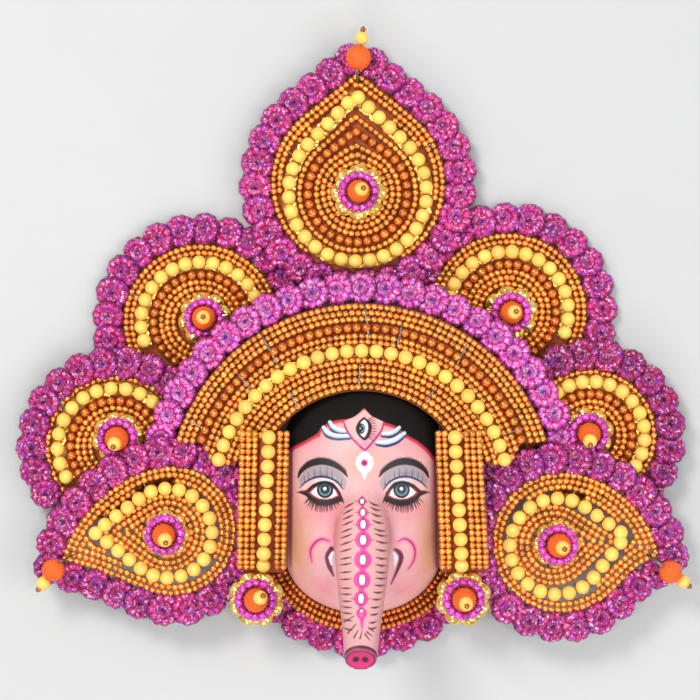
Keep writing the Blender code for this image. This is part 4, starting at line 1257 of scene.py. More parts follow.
def edge_of(turn):
    """Distance from the middle of the face to its edge, for many directions."""
    dx, dy = np.cos(turn), np.sin(turn)
    low, high = np.zeros_like(turn), np.full_like(turn, 160.0)
    for _ in range(40):
        far = 0.5 * (low + high)
        x, y = far * dx, MID_Y + far * dy
        inside = np.where(y > BROW_Y, (x / BROW_A) ** 2 + ((y - BROW_Y) / BROW_B) ** 2 < 1.0,
                          np.where(y < JAW_Y, (x / JAW_A) ** 2 + ((y - JAW_Y) / JAW_B) ** 2 < 1.0,
                                   np.abs(x) < JAW_A + (BROW_A - JAW_A) * (y - JAW_Y) / (BROW_Y - JAW_Y)))
        low, high = np.where(inside, far, low), np.where(inside, high, far)
    return low


def face_height(x, y, share, inset):
    z = SIDE_Z + (FRONT_Z - SIDE_Z) * np.clip(1.0 - share ** 2.3, 0, 1) ** 0.55 - inset * (1.0 - 0.25 * share)
    for fx, fy, height, wx, wy in FEATURES:
        z = z + height * (1.0 - share ** 4) * np.exp(-(((x - fx) / wx) ** 2) - ((y - fy) / wy) ** 2)
    return z


def share_of(x, y):
    """x, y from the face's middle line."""
    turn = np.arctan2(y - MID_Y, x)
    return np.hypot(x, y - MID_Y) / edge_of(turn)


def dome(inset, foot, around=150):
    turn = np.linspace(0, math.tau, around, endpoint=False)
    edge = edge_of(turn) - inset
    shares = np.concatenate([[1.0], 1.0 - (np.linspace(0, 1, 44) ** 2.2) * 0.985])
    points = []
    for k, s in enumerate(shares):
        x, y = s * edge * np.cos(turn), MID_Y + s * edge * np.sin(turn)
        z = face_height(x, y, s, inset) if k else np.full(around, foot)
        points.append(np.stack([FACE_X + x, y, z], 1))
    points = np.vstack(points)
    top = len(points)
    points = np.vstack([points, [[FACE_X, MID_Y, foot], [FACE_X, MID_Y, face_height(np.array([0.0]), np.array([MID_Y]), 0.0, inset)[0]]]])
    rings = len(shares)
    quads = [(k * around + i, k * around + (i + 1) % around, (k + 1) * around + (i + 1) % around, (k + 1) * around + i)
             for k in range(rings - 1) for i in range(around)]
    tris = [(top, (i + 1) % around, i) for i in range(around)]
    tris += [(top + 1, (rings - 1) * around + i, (rings - 1) * around + (i + 1) % around) for i in range(around)]
    return points, quads, tris


def smooth_path(values, count):
    """Catmull-Rom through rows of numbers."""
    padded = np.vstack([2 * values[0] - values[1], values, 2 * values[-1] - values[-2]])
    found = []
    for t in np.linspace(0, len(values) - 1, count):
        i = min(int(t), len(values) - 2)
        f = t - i
        p0, p1, p2, p3 = padded[i:i + 4]
        found.append(0.5 * (2 * p1 + (p2 - p0) * f + (2 * p0 - 5 * p1 + 4 * p2 - p3) * f * f + (3 * p1 - p0 - 3 * p2 + p3) * f ** 3))
    return np.array(found)


def trunk_tube(around=72):
    line = smooth_path(TRUNK, 90)
    x = np.linspace(5.6, 3.9, len(line))
    path = np.column_stack([x, line[:, 0], line[:, 1]])
    radii = line[:, 2]
    along = frames_along(path, False)
    turns = turns_to(along)
    # rounded lip at the free end
    ends = [(0.0, 1.0), (0.9, 0.985), (1.5, 0.93), (1.8, 0.84), (1.6, 0.74), (1.1, 0.55), (0.9, 0.3), (0.85, 0.1)]
    stations = [(path[k], turns[k], radii[k]) for k in range(len(path) - 1)]
    stations += [(path[-1] + along[-1] * push, turns[-1], radii[-1] * share) for push, share in ends]
    a = np.linspace(0, math.tau, around, endpoint=False)
    points = []
    for place, turn, r in stations:
        circle = np.stack([np.zeros(around), r * np.cos(a), r * np.sin(a)], 1)
        points.append(circle @ turn.T + place)
    points = np.vstack(points)
    n = len(stations)
    points = np.vstack([points, [path[0]], [path[-1] + along[-1] * 0.85]])
    quads = [(k * around + i, k * around + (i + 1) % around, (k + 1) * around + (i + 1) % around, (k + 1) * around + i)
             for k in range(n - 1) for i in range(around)]
    tris = [(n * around, (i + 1) % around, i) for i in range(around)]
    tris += [(n * around + 1, (n - 1) * around + i, (n - 1) * around + (i + 1) % around) for i in range(around)]
    return points, quads, tris


def helper(name, points, quads, tris):
    mesh = bpy.data.meshes.new(name)
    mesh.from_pydata([tuple(p) for p in (points + SHIFT) * MM], [], [tuple(map(int, q)) for q in quads + tris])
    bm = bmesh.new()
    bm.from_mesh(mesh)
    bmesh.ops.recalc_face_normals(bm, faces=bm.faces)
    bm.to_mesh(mesh)
    bm.free()
    obj = bpy.data.objects.new(name, mesh)
    bpy.context.scene.collection.objects.link(obj)
    return obj


outer = helper("face_outer", *dome(0.0, 0.0))
inner = helper("face_inner", *dome(WALL, -6.0))
tube = helper("face_trunk", *trunk_tube())
for other, operation in ((tube, "UNION"), (inner, "DIFFERENCE")):
    step = outer.modifiers.new(operation.lower(), "BOOLEAN")
    step.operation = operation
    step.object = other
    step.solver = "EXACT"
even_out = outer.modifiers.new("even", "REMESH")
even_out.mode = "VOXEL"
even_out.voxel_size = 0.0015
bpy.context.view_layer.update()
graph = bpy.context.evaluated_depsgraph_get()
mesh = bpy.data.meshes.new_from_object(outer.evaluated_get(graph))
for extra in (outer, inner, tube):
    bpy.data.objects.remove(extra, do_unlink=True)

bm = bmesh.new()
bm.from_mesh(mesh)
bm.verts.ensure_lookup_table()
co = np.array([v.co for v in bm.verts]) / MM - SHIFT


def trunk_gap(points):
    """Distance of mask-frame points from the trunk's surface."""
    line = smooth_path(TRUNK, 60)
    path = np.column_stack([np.linspace(5.6, 3.9, 60), line[:, 0], line[:, 1]])
    best = np.full(len(points), 1e9)
    for place, r in zip(path, line[:, 2]):
        best = np.minimum(best, np.linalg.norm(points - place, axis=1) - r)
    return best


share = share_of(co[:, 0] - FACE_X, co[:, 1])
skin = face_height(co[:, 0] - FACE_X, co[:, 1], np.minimum(share, 1.0), 0.0)
gap = trunk_gap(co)
crease = np.exp(-((co[:, 2] - skin) / 4.0) ** 2) * np.exp(-(gap / 4.0) ** 2) * (share < 1.0) * (co[:, 1] < -80)
near = [v for v, w in zip(bm.verts, crease) if w > 0.12]
for _ in range(16):
    bmesh.ops.smooth_vert(bm, verts=near, factor=0.5, use_axis_x=True, use_axis_y=True, use_axis_z=True)
for _ in range(3):
    bmesh.ops.smooth_vert(bm, verts=bm.verts, factor=0.4, use_axis_x=True, use_axis_y=True, use_axis_z=True)


def picture_of(points):
    return to_picture(points + SHIFT)



# ---------------------------------------------------------------------------
# paint, laid on in picture pixels
# ---------------------------------------------------------------------------
def blend(colour, new, amount):
    return colour + (np.asarray(new) - colour) * amount[:, None]


def step(d, soft):
    """1 where d < 0, falling to 0 over soft."""
    return np.clip(0.5 - d / max(soft, 1e-6), 0.0, 1.0)


def segment_field(u, v, line, widths=None):
    """Distance to a line less its half width there."""
    line = np.asarray(line, float)
    best = np.full(len(u), 1e9)
    n = len(line) - 1
    for i in range(n):
        p, q = line[i], line[i + 1]
        d = q - p
        length = max(float(d @ d), 1e-9)
        t = np.clip(((u - p[0]) * d[0] + (v - p[1]) * d[1]) / length, 0, 1)
        distance = np.hypot(u - p[0] - t * d[0], v - p[1] - t * d[1])
        if widths is not None:
            distance = distance - 0.5 * np.interp((i + t) / n, np.linspace(0, 1, len(widths)), widths)
        best = np.minimum(best, distance)
    return best


def curve(points, count=24):
    points = np.asarray(points, float)
    if len(points) < 3:
        return points
    return smooth_path(points, count)


def inside_field(u, v, loop):
    """Signed distance to a closed outline, negative inside."""
    loop = np.asarray(loop, float)
    closed = np.vstack([loop, loop[:1]])
    d = segment_field(u, v, closed)
    inside = np.zeros(len(u), bool)
    for (x0, y0), (x1, y1) in zip(closed, closed[1:]):
        if y0 == y1:
            continue
        cross = ((y0 > v) != (y1 > v)) & (u < (x1 - x0) * (v - y0) / (y1 - y0) + x0)
        inside ^= cross
    return np.where(inside, -d, d)


class Canvas:
    def __init__(self, u, v, colour):
        self.u, self.v, self.c = u, v, np.tile(np.asarray(colour, float), (len(u), 1))

    def near(self, points, reach):
        points = np.asarray(points, float)
        (u0, v0), (u1, v1) = points.min(0) - reach, points.max(0) + reach
        return np.nonzero((self.u > u0) & (self.u < u1) & (self.v > v0) & (self.v < v1) & self.free)[0]

    free = True

    def stroke(self, line, widths, colour, soft=0.9, amount=1.0, smooth=True):
        line = curve(line) if smooth else np.asarray(line, float)
        pick = self.near(line, max(widths) + soft + 1)
        if len(pick):
            d = segment_field(self.u[pick], self.v[pick], line, widths)
            self.c[pick] = blend(self.c[pick], colour, step(d, soft) * amount)

    def fill(self, loop, colour, soft=0.9, amount=1.0, smooth=False):
        loop = np.asarray(loop, float)
        if smooth:
            loop = smooth_path(np.vstack([loop, loop[:1]]), 60)[:-1]
        pick = self.near(loop, soft + 1)
        if len(pick):
            d = inside_field(self.u[pick], self.v[pick], loop)
            self.c[pick] = blend(self.c[pick], colour, step(d, soft) * amount)

    def spot(self, centre, radii, colour, soft=0.9, amount=1.0):
        a, b = radii if np.ndim(radii) else (radii, radii)
        pick = self.near([centre], max(a, b) + soft + 1)
        if len(pick):
            x, y = (self.u[pick] - centre[0]) / a, (self.v[pick] - centre[1]) / b
            d = (np.hypot(x, y) - 1.0) * min(a, b)
            self.c[pick] = blend(self.c[pick], colour, step(d, soft) * amount)

    def glow(self, centre, radii, colour, amount=1.0, power=2.0):
        a, b = radii if np.ndim(radii) else (radii, radii)
        rho = np.hypot((self.u - centre[0]) / a, (self.v - centre[1]) / b)
        self.c = blend(self.c, colour, np.exp(-rho ** power) * amount * self.free)

    def ring(self, centre, r, width, colour, soft=0.9, amount=1.0, a0=0.0, a1=360.0):
        t = np.radians(np.linspace(a0, a1, 40))
        self.stroke(np.column_stack([centre[0] + r * np.cos(t), centre[1] + r * np.sin(t)]), [width, width], colour, soft, amount, smooth=False)


SKIN, CREAM, BLUSH = srgb(219, 166, 167), srgb(202, 146, 96), srgb(220, 104, 118)
MAUVE_SHADE, HAIR, CRIMSON = srgb(196, 140, 146), srgb(27, 25, 24), srgb(196, 44, 66)
WHITE, NAVY, BLACK = srgb(222, 230, 236), srgb(14, 34, 84), srgb(22, 16, 18)
MAGENTA, DEEP, HOT = srgb(176, 30, 108), srgb(108, 14, 62), srgb(246, 60, 156)
RIM_LIGHT_TONE = srgb(232, 168, 160)


def coat(co):
    """Colours of mask-frame points, with how much each lies in the hair."""
    u, v = picture_of(co)
    paint = Canvas(u, v, SKIN)
    paint.free = np.ones(len(u), bool)
    paint.glow((296, 548), (14, 44), CREAM, 0.8)
    paint.glow((432, 548), (14, 46), CREAM, 0.85)
    paint.glow((364, 462), (20, 16), CREAM, 0.45)
    paint.glow((362, 560), (16, 60), CREAM, 0.2)
    paint.glow((320, 512), (26, 12), BLUSH, 0.36)
    paint.glow((406, 512), (26, 12), BLUSH, 0.36)
    paint.glow((335, 528), (9, 26), BLUSH, 0.46)
    # painted shadow: mauve shade to the right of the trunk's root, where it rises from the face
    paint.glow((392, 530), (10, 30), MAUVE_SHADE, 0.6)
    paint.glow((383, 500), (8, 18), MAUVE_SHADE, 0.5)
    paint.glow((322, 590), (20, 14), BLUSH, 0.45)
    paint.glow((408, 590), (20, 14), BLUSH, 0.45)
    paint.glow((310, 440), (22, 12), BLUSH, 0.25)
    paint.glow((418, 446), (22, 12), BLUSH, 0.25)
    # painted light: a warm tone a little lighter than the skin, laid towards the edge of the face against the shadow
    # the columns cast on its steep sides
    rim_share = share_of(co[:, 0] - FACE_X, co[:, 1])
    on_face = trunk_gap(co) > 0.8
    paint.c = blend(paint.c, RIM_LIGHT_TONE, np.clip((rim_share - 0.86) / 0.1, 0, 1) ** 1.2 * 0.8 * on_face)

    for line in ([(291.6, 440), (291.0, 500), (290.8, 566)], [(434.4, 440), (435.6, 500), (436.6, 566)]):
        paint.stroke(line, [2.2, 2.6, 1.6], srgb(196, 40, 52), 1.4, 0.75)

    # hair: everything over the hairline, with a crimson border
    hairline = curve([(262, 462), (280, 453), (293, 447), (316, 434.5), (322, 427), (334, 421), (350, 418.5), (358, 414), (364, 408.5), (369, 414),
                      (375, 419), (385, 422.5), (396, 426.5), (407, 435), (418, 441.5), (428, 450), (436, 460), (446, 476)], 90)
    line_v = np.interp(u, hairline[:, 0], hairline[:, 1])
    slope = np.interp(u, hairline[:, 0], np.gradient(hairline[:, 1], hairline[:, 0]))
    over = (v - line_v) / np.sqrt(1 + slope ** 2)
    paint.c = blend(paint.c, BLUSH, np.clip(1 - over / 9.0, 0, 1) ** 2 * 0.55 * (over > 0))
    paint.c = blend(paint.c, CRIMSON, step(over - 3.0, 1.6))
    paint.c = blend(paint.c, HAIR, step(over, 1.0))

    # third eye: a pointed drop on the forehead
    drop_loop = [(343.5, 421.5), (346, 429), (351, 437), (358, 444.5), (364.8, 451.0), (371, 444), (378, 435.5), (382.3, 429), (383.8, 422), (375, 419.5), (364.5, 409.5), (352, 419)]
    paint.fill(drop_loop, srgb(240, 178, 172), 1.2)
    for a, b, w in ((((329.8, 422.6), (333, 427.4), (339.5, 430.6), (347, 431.4)), None, 4.6), (((323.4, 427.8), (327.5, 433.2), (336.5, 436.2), (349.5, 436.2)), None, 4.4),
                    (((382.8, 434.2), (390, 433.8), (396, 431), (399.2, 428.0)), None, 4.4), (((377.5, 442.6), (386, 442.9), (396, 439.8), (404.4, 433.6)), None, 4.6)):
        line = np.array(a)
        paint.stroke(line + (0, 1.2), [w * 0.7 + 1.4, w + 2.2, w + 2.0, w * 0.8 + 1.4], NAVY, 1.0)
        paint.stroke(line - (0, 0.5), [w * 0.7, w * 0.9, w * 0.9, w * 0.7], WHITE, 1.0)
        paint.stroke(line + (0, 0.8), [w * 0.3, w * 0.4, w * 0.4, w * 0.3], srgb(132, 172, 204), 1.6, 0.7)
    paint.fill([(343.5, 421.5), (346, 429), (351, 437), (358, 444.5), (364.8, 451.0), (371, 444), (378, 435.5), (382.3, 429), (383.8, 422), (364.5, 413)], srgb(240, 176, 170), 0.9)
    paint.glow((365, 444), (7, 6), HOT, 0.45)
    paint.glow((374, 432), (5, 7), HOT, 0.3)
    paint.stroke([(343.8, 422.0), (346.5, 430), (352, 438), (358.5, 444.8), (364.9, 450.6)], [1.8, 2.2, 2.2, 2.2, 2.4], MAGENTA, 0.9)
    paint.stroke([(364.9, 450.6), (371.4, 443.6), (378, 435.4), (382, 429), (383.6, 422.2)], [2.4, 2.2, 2.2, 2.0, 1.8], MAGENTA, 0.9)
    # the eye in it, upright
    for k in range(11):
        t = math.radians(-62 + 124 * k / 10)
        paint.stroke([(365.5 + 3.5 * math.cos(t), 428.6 + 9.5 * math.sin(t)), (369.5 + 7.2 * math.cos(t), 428.6 + 13.6 * math.sin(t))], [1.1, 0.6], BLACK, 0.6, smooth=False)
    paint.fill([(364.3, 416.6), (359, 421), (356.2, 426), (356, 431), (359, 436.3), (364.8, 440.6), (369.5, 436), (371.5, 430), (371.0, 423.5)], BLACK, 0.8, smooth=True)
    paint.fill([(364.3, 419.4), (360.4, 423), (358.0, 428.5), (360.2, 434), (364.4, 437.2), (367.3, 433), (368.2, 428.5), (367.3, 423)], WHITE, 0.7, smooth=True)
    paint.stroke([(365.2, 436.2), (367.6, 432), (368.3, 428)], [0.8, 1.0, 0.6], CRIMSON, 0.6)
    paint.spot((360.9, 428.6), (4.4, 5.4), BLACK, 0.7)
    paint.ring((361.2, 428.6), 3.2, 1.2, srgb(130, 156, 176), 0.7, 0.95, -80, 80)
    paint.spot((360.4, 428.4), 1.0, srgb(150, 170, 190), 0.6)
    # white flower under it
    for k in range(9):
        t = math.tau * k / 9 + 0.2
        paint.spot((364.6 + 5.4 * math.cos(t), 462.6 + 6.6 * math.sin(t)), (3.7, 3.7), WHITE, 1.0, 0.95)
    paint.spot((364.6, 462.6), (6.2, 7.6), WHITE, 1.0)
    for k in range(18):
        t = math.tau * k / 18
        paint.spot((364.6 + 6.6 * math.cos(t), 462.6 + 7.9 * math.sin(t)), 0.7, srgb(226, 186, 190), 0.8, 0.8)
    paint.fill([(360.5, 454.5), (364.8, 450.8), (369, 454.5)], WHITE, 1.0)
    paint.fill([(359.8, 470), (363, 475), (364.6, 480.6), (366.2, 475), (369.4, 470)], WHITE, 1.2)
    paint.spot((364.4, 462.9), 3.7, HOT, 1.0)
    paint.spot((364.4, 462.9), 2.2, DEEP, 1.0)


    def eye(flip):
        """Left eye's shapes; flip mirrors them on the face's middle line."""
        def m(points):
            points = np.asarray(points, float)
            if flip:
                points = np.column_stack([726.6 - points[:, 0], points[:, 1]])
            return points

        ix = 726.6 - 325.0 if flip else 325.0
        # brow with fine hairs on its upper edge
        brow = m([(298.2, 477.2), (301.5, 470.6), (308.5, 464.6), (316, 461.9), (323, 461.3), (331, 463), (338, 466.6), (343.6, 471.2), (347.2, 476.4)])
        for k in range(30):
            s = 0.05 + 0.9 * k / 29
            at = curve(brow, 60)[int(s * 59)]
            side = (-0.55 + 1.1 * s) * (-1 if flip else 1)
            high = 3.6 + 1.4 * math.sin(math.pi * s)
            paint.stroke([tuple(at), (at[0] + side * 1.6, at[1] - high)], [1.2, 0.5], srgb(70, 18, 28), 0.7, 0.8, smooth=False)
        # lid
        lid = m([(299.0, 480.0), (303, 472.6), (309.5, 467.2), (317, 464.4), (324, 464.0), (331.5, 466), (338, 470), (343.4, 475), (347.0, 482.0), (345.0, 489.5),
                 (340.5, 485.2), (331.5, 478.6), (320.5, 476.2), (310, 479.2), (300.4, 487.6)])
        paint.fill(lid, srgb(160, 145, 150), 1.2)
        paint.glow((ix + (4 if flip else -2), 473.6), (8, 2.6), srgb(84, 112, 150), 0.55 if flip else 0.3)
        for x, y0, y1 in ((304.4, 475.6, 481.6), (308.7, 472.8, 479.2), (314.5, 469, 476.8), (320.7, 468.6, 476.2), (327.4, 468.4, 476.6), (332.2, 471.2, 478.4), (337.5, 474.0, 481.4), (341.6, 478, 485)):
            paint.stroke(m([(x - 0.3, y0), (x, y1)]), [0.6, 1.2], srgb(70, 48, 58), 0.7, 0.85, smooth=False)
        paint.stroke(brow, [1.8, 4.2, 6.4, 7.2, 7.2, 6.6, 5.6, 4.2, 1.6], BLACK, 1.0)
        # skin between lid line and lashes, with pale ticks
        paint.fill(m([(300.4, 488.0), (310, 479.8), (320.5, 476.8), (331.5, 479.2), (340.5, 485.8), (344, 491), (339, 491), (331, 483.5), (322, 481.2), (312.5, 484.6), (305, 491)]), srgb(226, 178, 172), 0.8)
        paint.glow((ix, 480.0), (14, 3.0), WHITE, 0.25)
        for k in range(13):
            t = math.radians(205 + 130 * k / 12)
            p = (ix - (0.5 if not flip else -0.5) + 14.8 * math.cos(t), 492.4 + 13.4 * math.sin(t))
            q = (ix - (0.5 if not flip else -0.5) + 12.0 * math.cos(t), 492.4 + 10.6 * math.sin(t))
            paint.stroke([p, q], [1.0, 1.4], WHITE, 0.7, 0.75, smooth=False)
        paint.stroke(m([(300.0, 487.8), (304.5, 483.0), (310.5, 479.3), (316, 477.2), (321.5, 476.6), (327, 477.2), (333, 479.4), (338.5, 483.4), (343.2, 489.6)]),
                     [0.8, 1.5, 1.9, 2.1, 2.3, 2.2, 2.0, 1.8, 1.0], NAVY, 0.8)
        # soft shadow and lashes below
        paint.glow((ix, 505.0), (17, 5.5), BLUSH, 0.55)
        for k in range(25):
            t = math.radians(152 - 124 * k / 24)
            a = (ix - (2.0 if not flip else -2.0) + 16.0 * math.cos(t), 493.5 + 9.6 * math.sin(t))
            reach = 1.0 + 0.42 * (0.65 + 0.35 * math.sin(2.4 * k))
            b = (ix - (2.0 if not flip else -2.0) + 16.0 * reach * math.cos(t), 493.5 + (9.6 + 8.4) * math.sin(t) * (0.84 + 0.16 * reach))
            paint.stroke([a, b], [1.6, 0.6], srgb(40, 16, 24), 0.7, 0.95, smooth=False)
        # dark almond, then white and iris
        paint.fill(m([(297.6, 492.4), (305.5, 490.6), (312.6, 484.2), (318, 481.9), (324, 481.2), (330.6, 482.4), (336.4, 486.6), (340.4, 492.2), (343.6, 500.6),
                      (339.5, 502.2), (333.0, 504.8), (326.0, 506.2), (318.0, 505.4), (311.0, 501.2), (305.2, 495.6)]), BLACK, 0.9)
        paint.fill(m([(307.8, 492.8), (313, 488.2), (318.4, 485.2), (325, 484.2), (331.4, 485.8), (336.2, 490.0), (339.6, 496.0), (334, 498.6), (326.4, 500.2), (318.6, 499.4), (312.4, 496.6)]), srgb(170, 34, 48), 0.8)
        paint.fill(m([(310.6, 492.4), (314.6, 488.4), (319.4, 485.6), (325.4, 484.8), (331.2, 486.6), (335.4, 490.6), (337.4, 495.2), (332.2, 497.8), (326, 499.0), (319.6, 498.2), (314.2, 495.6)]), srgb(240, 232, 228), 0.8)
        paint.spot((ix, 489.9), (8.3, 8.4), BLACK, 0.8)
        paint.stroke(m([(311.5, 487.4), (318, 483.6), (325, 482.4), (332, 484.2), (337, 489.0)]), [2.0, 3.0, 3.4, 3.2, 2.0], BLACK, 0.8)
        paint.ring((ix, 489.7), 5.3, 1.5, srgb(104, 144, 162), 0.8, 0.95, -30, 210)
        paint.ring((ix, 489.7), 5.2, 1.2, srgb(56, 84, 100), 0.8, 0.8, 200, 340)
        paint.spot((ix, 489.6), 3.8, srgb(14, 20, 26), 0.8)
        paint.ring((ix, 489.6), 2.9, 0.8, srgb(60, 96, 116), 0.7, 0.7, 20, 160)
        paint.spot((ix - 0.2, 488.7), 1.7, srgb(250, 252, 252), 0.8)
        paint.stroke(m([(338.2, 492.5), (341.6, 498), (343.8, 503)]), [1.2, 2.2, 0.8], srgb(70, 14, 30), 0.8)
        paint.stroke(m([(296.8, 492.6), (301, 491.6), (306, 491.2)]), [0.8, 1.6, 2.2], srgb(96, 18, 34), 0.8)


    eye(False)
    eye(True)

    # cheek marks and tusks
    for line, widths in (([(312.0, 562.0), (310.4, 551.4), (314.5, 543.4), (321.7, 539.0), (329.8, 541.2)], [1.0, 3.2, 3.8, 3.4, 1.6]),
                         ([(397.6, 541.6), (405.2, 538.8), (412.4, 543.6), (415.2, 552.4), (413.0, 562), (408.2, 569.2)], [1.6, 3.4, 3.8, 3.2, 2.4, 1.2])):
        paint.stroke(line, [w + 2.8 for w in widths], HOT, 2.4, 0.45)
        paint.stroke(line, [w * 0.62 for w in widths], MAGENTA, 0.9)
    paint.stroke([(331.4, 549.0), (328.2, 556.5), (329.4, 566.0), (333.6, 576.0)], [5.4, 6.8, 5.2, 1.6], DEEP, 1.0)
    paint.stroke([(332.6, 552.5), (330.4, 557.5), (331.4, 564.6)], [2.2, 3.6, 1.4], WHITE, 1.0)
    paint.stroke([(394.8, 549.4), (399.0, 552.0), (401.2, 557.6), (398.6, 567.0), (391.0, 584.0)], [2.6, 4.6, 5.0, 3.8, 1.2], DEEP, 1.0)
    paint.stroke([(393.8, 553.0), (395.8, 557.6), (394.8, 565.0)], [2.2, 4.2, 1.6], WHITE, 1.0)
    paint.spot((288.0, 580.0), (2.6, 3.0), srgb(232, 222, 206), 1.0)

    # chain of ovals down the trunk
    OVALS = [(362.1, 501.3, 1.9, 2.6, 3.9), (362.8, 512.5, 2.2, 3.5, 4.9), (363.1, 524.4, 2.6, 4.2, 6.6), (363.1, 539.9, 3.1, 4.8, 8.0), (362.8, 559.7, 3.0, 4.8, 8.7),
             (362.1, 579.9, 3.0, 5.2, 8.5), (361.0, 598.6, 2.7, 4.8, 7.2), (361.6, 613.5, 2.0, 4.0, 5.2)]
    paint.stroke([(362.1, 497), (363.1, 525), (363, 560), (361, 600), (361.9, 622)], [2.0, 5.0, 7.0, 6.0, 2.0], HOT, 1.6, 0.9)
    for x, y, a, b, r in OVALS:
        paint.spot((x, y), (r, r * 1.08), HOT, 1.4, 0.95)
        paint.ring((x, y), r * 0.93, 0.9, srgb(210, 40, 130), 0.9, 0.5)
        paint.fill([(x, y - b - 2.4), (x + a + 1.1, y - b * 0.45), (x + a + 1.1, y + b * 0.45), (x, y + b + 2.4), (x - a - 1.1, y + b * 0.45), (x - a - 1.1, y - b * 0.45)], srgb(84, 16, 44), 0.9)
        paint.spot((x, y), (a, b), srgb(246, 244, 246), 0.8)
    paint.stroke([(361.8, 614), (361.9, 624), (361.9, 632)], [5.0, 3.0, 0.6], HOT, 1.0, 0.9)
    for (x, y, a, b, r), (x2, y2, *_rest) in zip(OVALS, OVALS[1:]):
        if r < 8.4:
            for s in (-1, 1):
                paint.stroke([(x + s * (r - 0.5), y + 0.4), (x + s * (r + 3.2), y - 0.2)], [1.0, 0.5], srgb(110, 24, 60), 0.7, 0.85, smooth=False)

    # short strokes across the trunk
    LINE = srgb(92, 26, 44)
    left_v = [505, 511, 517, 523, 530, 536, 543, 550, 558, 564, 572, 579, 588, 594, 601, 607, 613, 620, 629]
    right_v = [504, 509, 515, 522, 530, 535, 542, 550, 558, 565, 572, 578, 585, 592, 599, 607, 614, 622, 628]
    for y in left_v:
        x0 = np.interp(y, [505, 540, 580, 610, 629], [344.5, 340.0, 339.8, 341.5, 343.0])
        x1 = np.interp(y, [505, 540, 580, 610, 629], [353.6, 351.6, 351.0, 351.6, 352.4])
        rise = np.interp(y, [505, 545, 575, 629], [4.2, 3.2, 0.6, -2.0])
        paint.stroke([(x0, y + rise * 0.7), ((x0 + x1) / 2, y + 0.3), (x1, y - rise * 0.5)], [0.7, 1.9, 0.8], LINE, 0.8)
    for y in right_v:
        x0 = np.interp(y, [504, 540, 580, 599, 622], [370.0, 376.2, 376.0, 372.4, 369.2])
        x1 = np.interp(y, [504, 540, 580, 599, 622], [378.8, 388.0, 386.6, 381.2, 376.6])
        fall = np.interp(y, [504, 545, 575, 628], [3.0, 1.6, 0.2, -1.6])
        paint.stroke([(x0, y - fall * 0.6), ((x0 + x1) / 2, y + 0.7), (x1, y + fall * 0.5)], [0.9, 2.2, 0.8], LINE, 0.8)
    for a, b in (((344, 622), (354, 616)), ((348, 633), (356, 624)), ((354, 637.5), (358, 630.5)), ((360, 638.6), (362, 631.6)), ((365, 634), (369.5, 640)), ((367, 632), (372, 636)), ((369, 628), (374, 631.6))):
        paint.stroke([a, b], [1.6, 0.8], LINE, 0.8, smooth=False)

    # painted shade: a darker mauve-pink towards the sides of the round trunk, fading from its edges
    trunk_line = smooth_path(TRUNK, 60)
    tx = np.linspace(5.6, 3.9, 60)
    axis_x = np.interp(-co[:, 1], -trunk_line[:, 0], tx)
    axis_r = np.interp(-co[:, 1], -trunk_line[:, 0], trunk_line[:, 2])
    lateral = np.abs(co[:, 0] - axis_x) / np.maximum(axis_r, 1.0)
    on_trunk = (~on_face) & (co[:, 1] < -96)
    paint.c = blend(paint.c, srgb(190, 122, 130), np.clip((lateral - 0.66) / 0.36, 0, 1) ** 1.5 * 0.55 * on_trunk)

    # tip: dark rim, magenta disc, two nostrils
    tip_axis = np.array([0.0, TRUNK[-1, 0] - TRUNK[-2, 0], TRUNK[-1, 1] - TRUNK[-2, 1]])
    tip_axis /= np.linalg.norm(tip_axis)
    tip_at = np.array([3.9, TRUNK[-1, 0], TRUNK[-1, 1]])
    rel = co - tip_at
    ahead = rel @ tip_axis
    wide = rel[:, 0]
    high = rel @ np.cross(np.array([1.0, 0, 0]), tip_axis)
    high = high if np.cross(np.array([1.0, 0, 0]), tip_axis)[1] > 0 else -high
    rho = np.hypot(wide, high)
    cap = (ahead > -2.2) & (rho < 12)
    paint.c = blend(paint.c, srgb(74, 10, 34), cap * np.clip((ahead + 2.2 - 0.5 * high / 8.0) / 0.8, 0, 1))
    paint.c = blend(paint.c, srgb(206, 36, 112), cap * step(rho - 6.9, 1.2) * (ahead > 0.2))
    paint.c = blend(paint.c, srgb(232, 130, 150), cap * step(np.abs(rho - 7.9) - 0.3, 0.6) * 0.4)
    for nx in (-2.4, 2.4):
        paint.c = blend(paint.c, srgb(60, 6, 30), cap * step(np.hypot((wide - nx) / 1.0, (high - 0.2) / 1.25) - 1.75, 0.7))
    return np.clip(paint.c, 0, 1), step(over, 1.0)


def mesh_places():
    bm.verts.ensure_lookup_table()
    bm.normal_update()
    return np.array([v.co for v in bm.verts]) / MM - SHIFT, np.array([v.normal for v in bm.verts])


DETAIL = ((292, 452, 352, 518), (375, 452, 436, 518), (318, 403, 410, 484), (336, 492, 392, 642), (306, 534, 336, 582), (390, 534, 418, 590))
EYES = ((292, 456, 352, 516), (375, 456, 436, 516), (340, 408, 388, 452))


def within(u, v, boxes):
    found = np.zeros(len(u), bool)
    for x0, y0, x1, y1 in boxes:
        found |= (u > x0) & (u < x1) & (v > y0) & (v < y1)
    return found


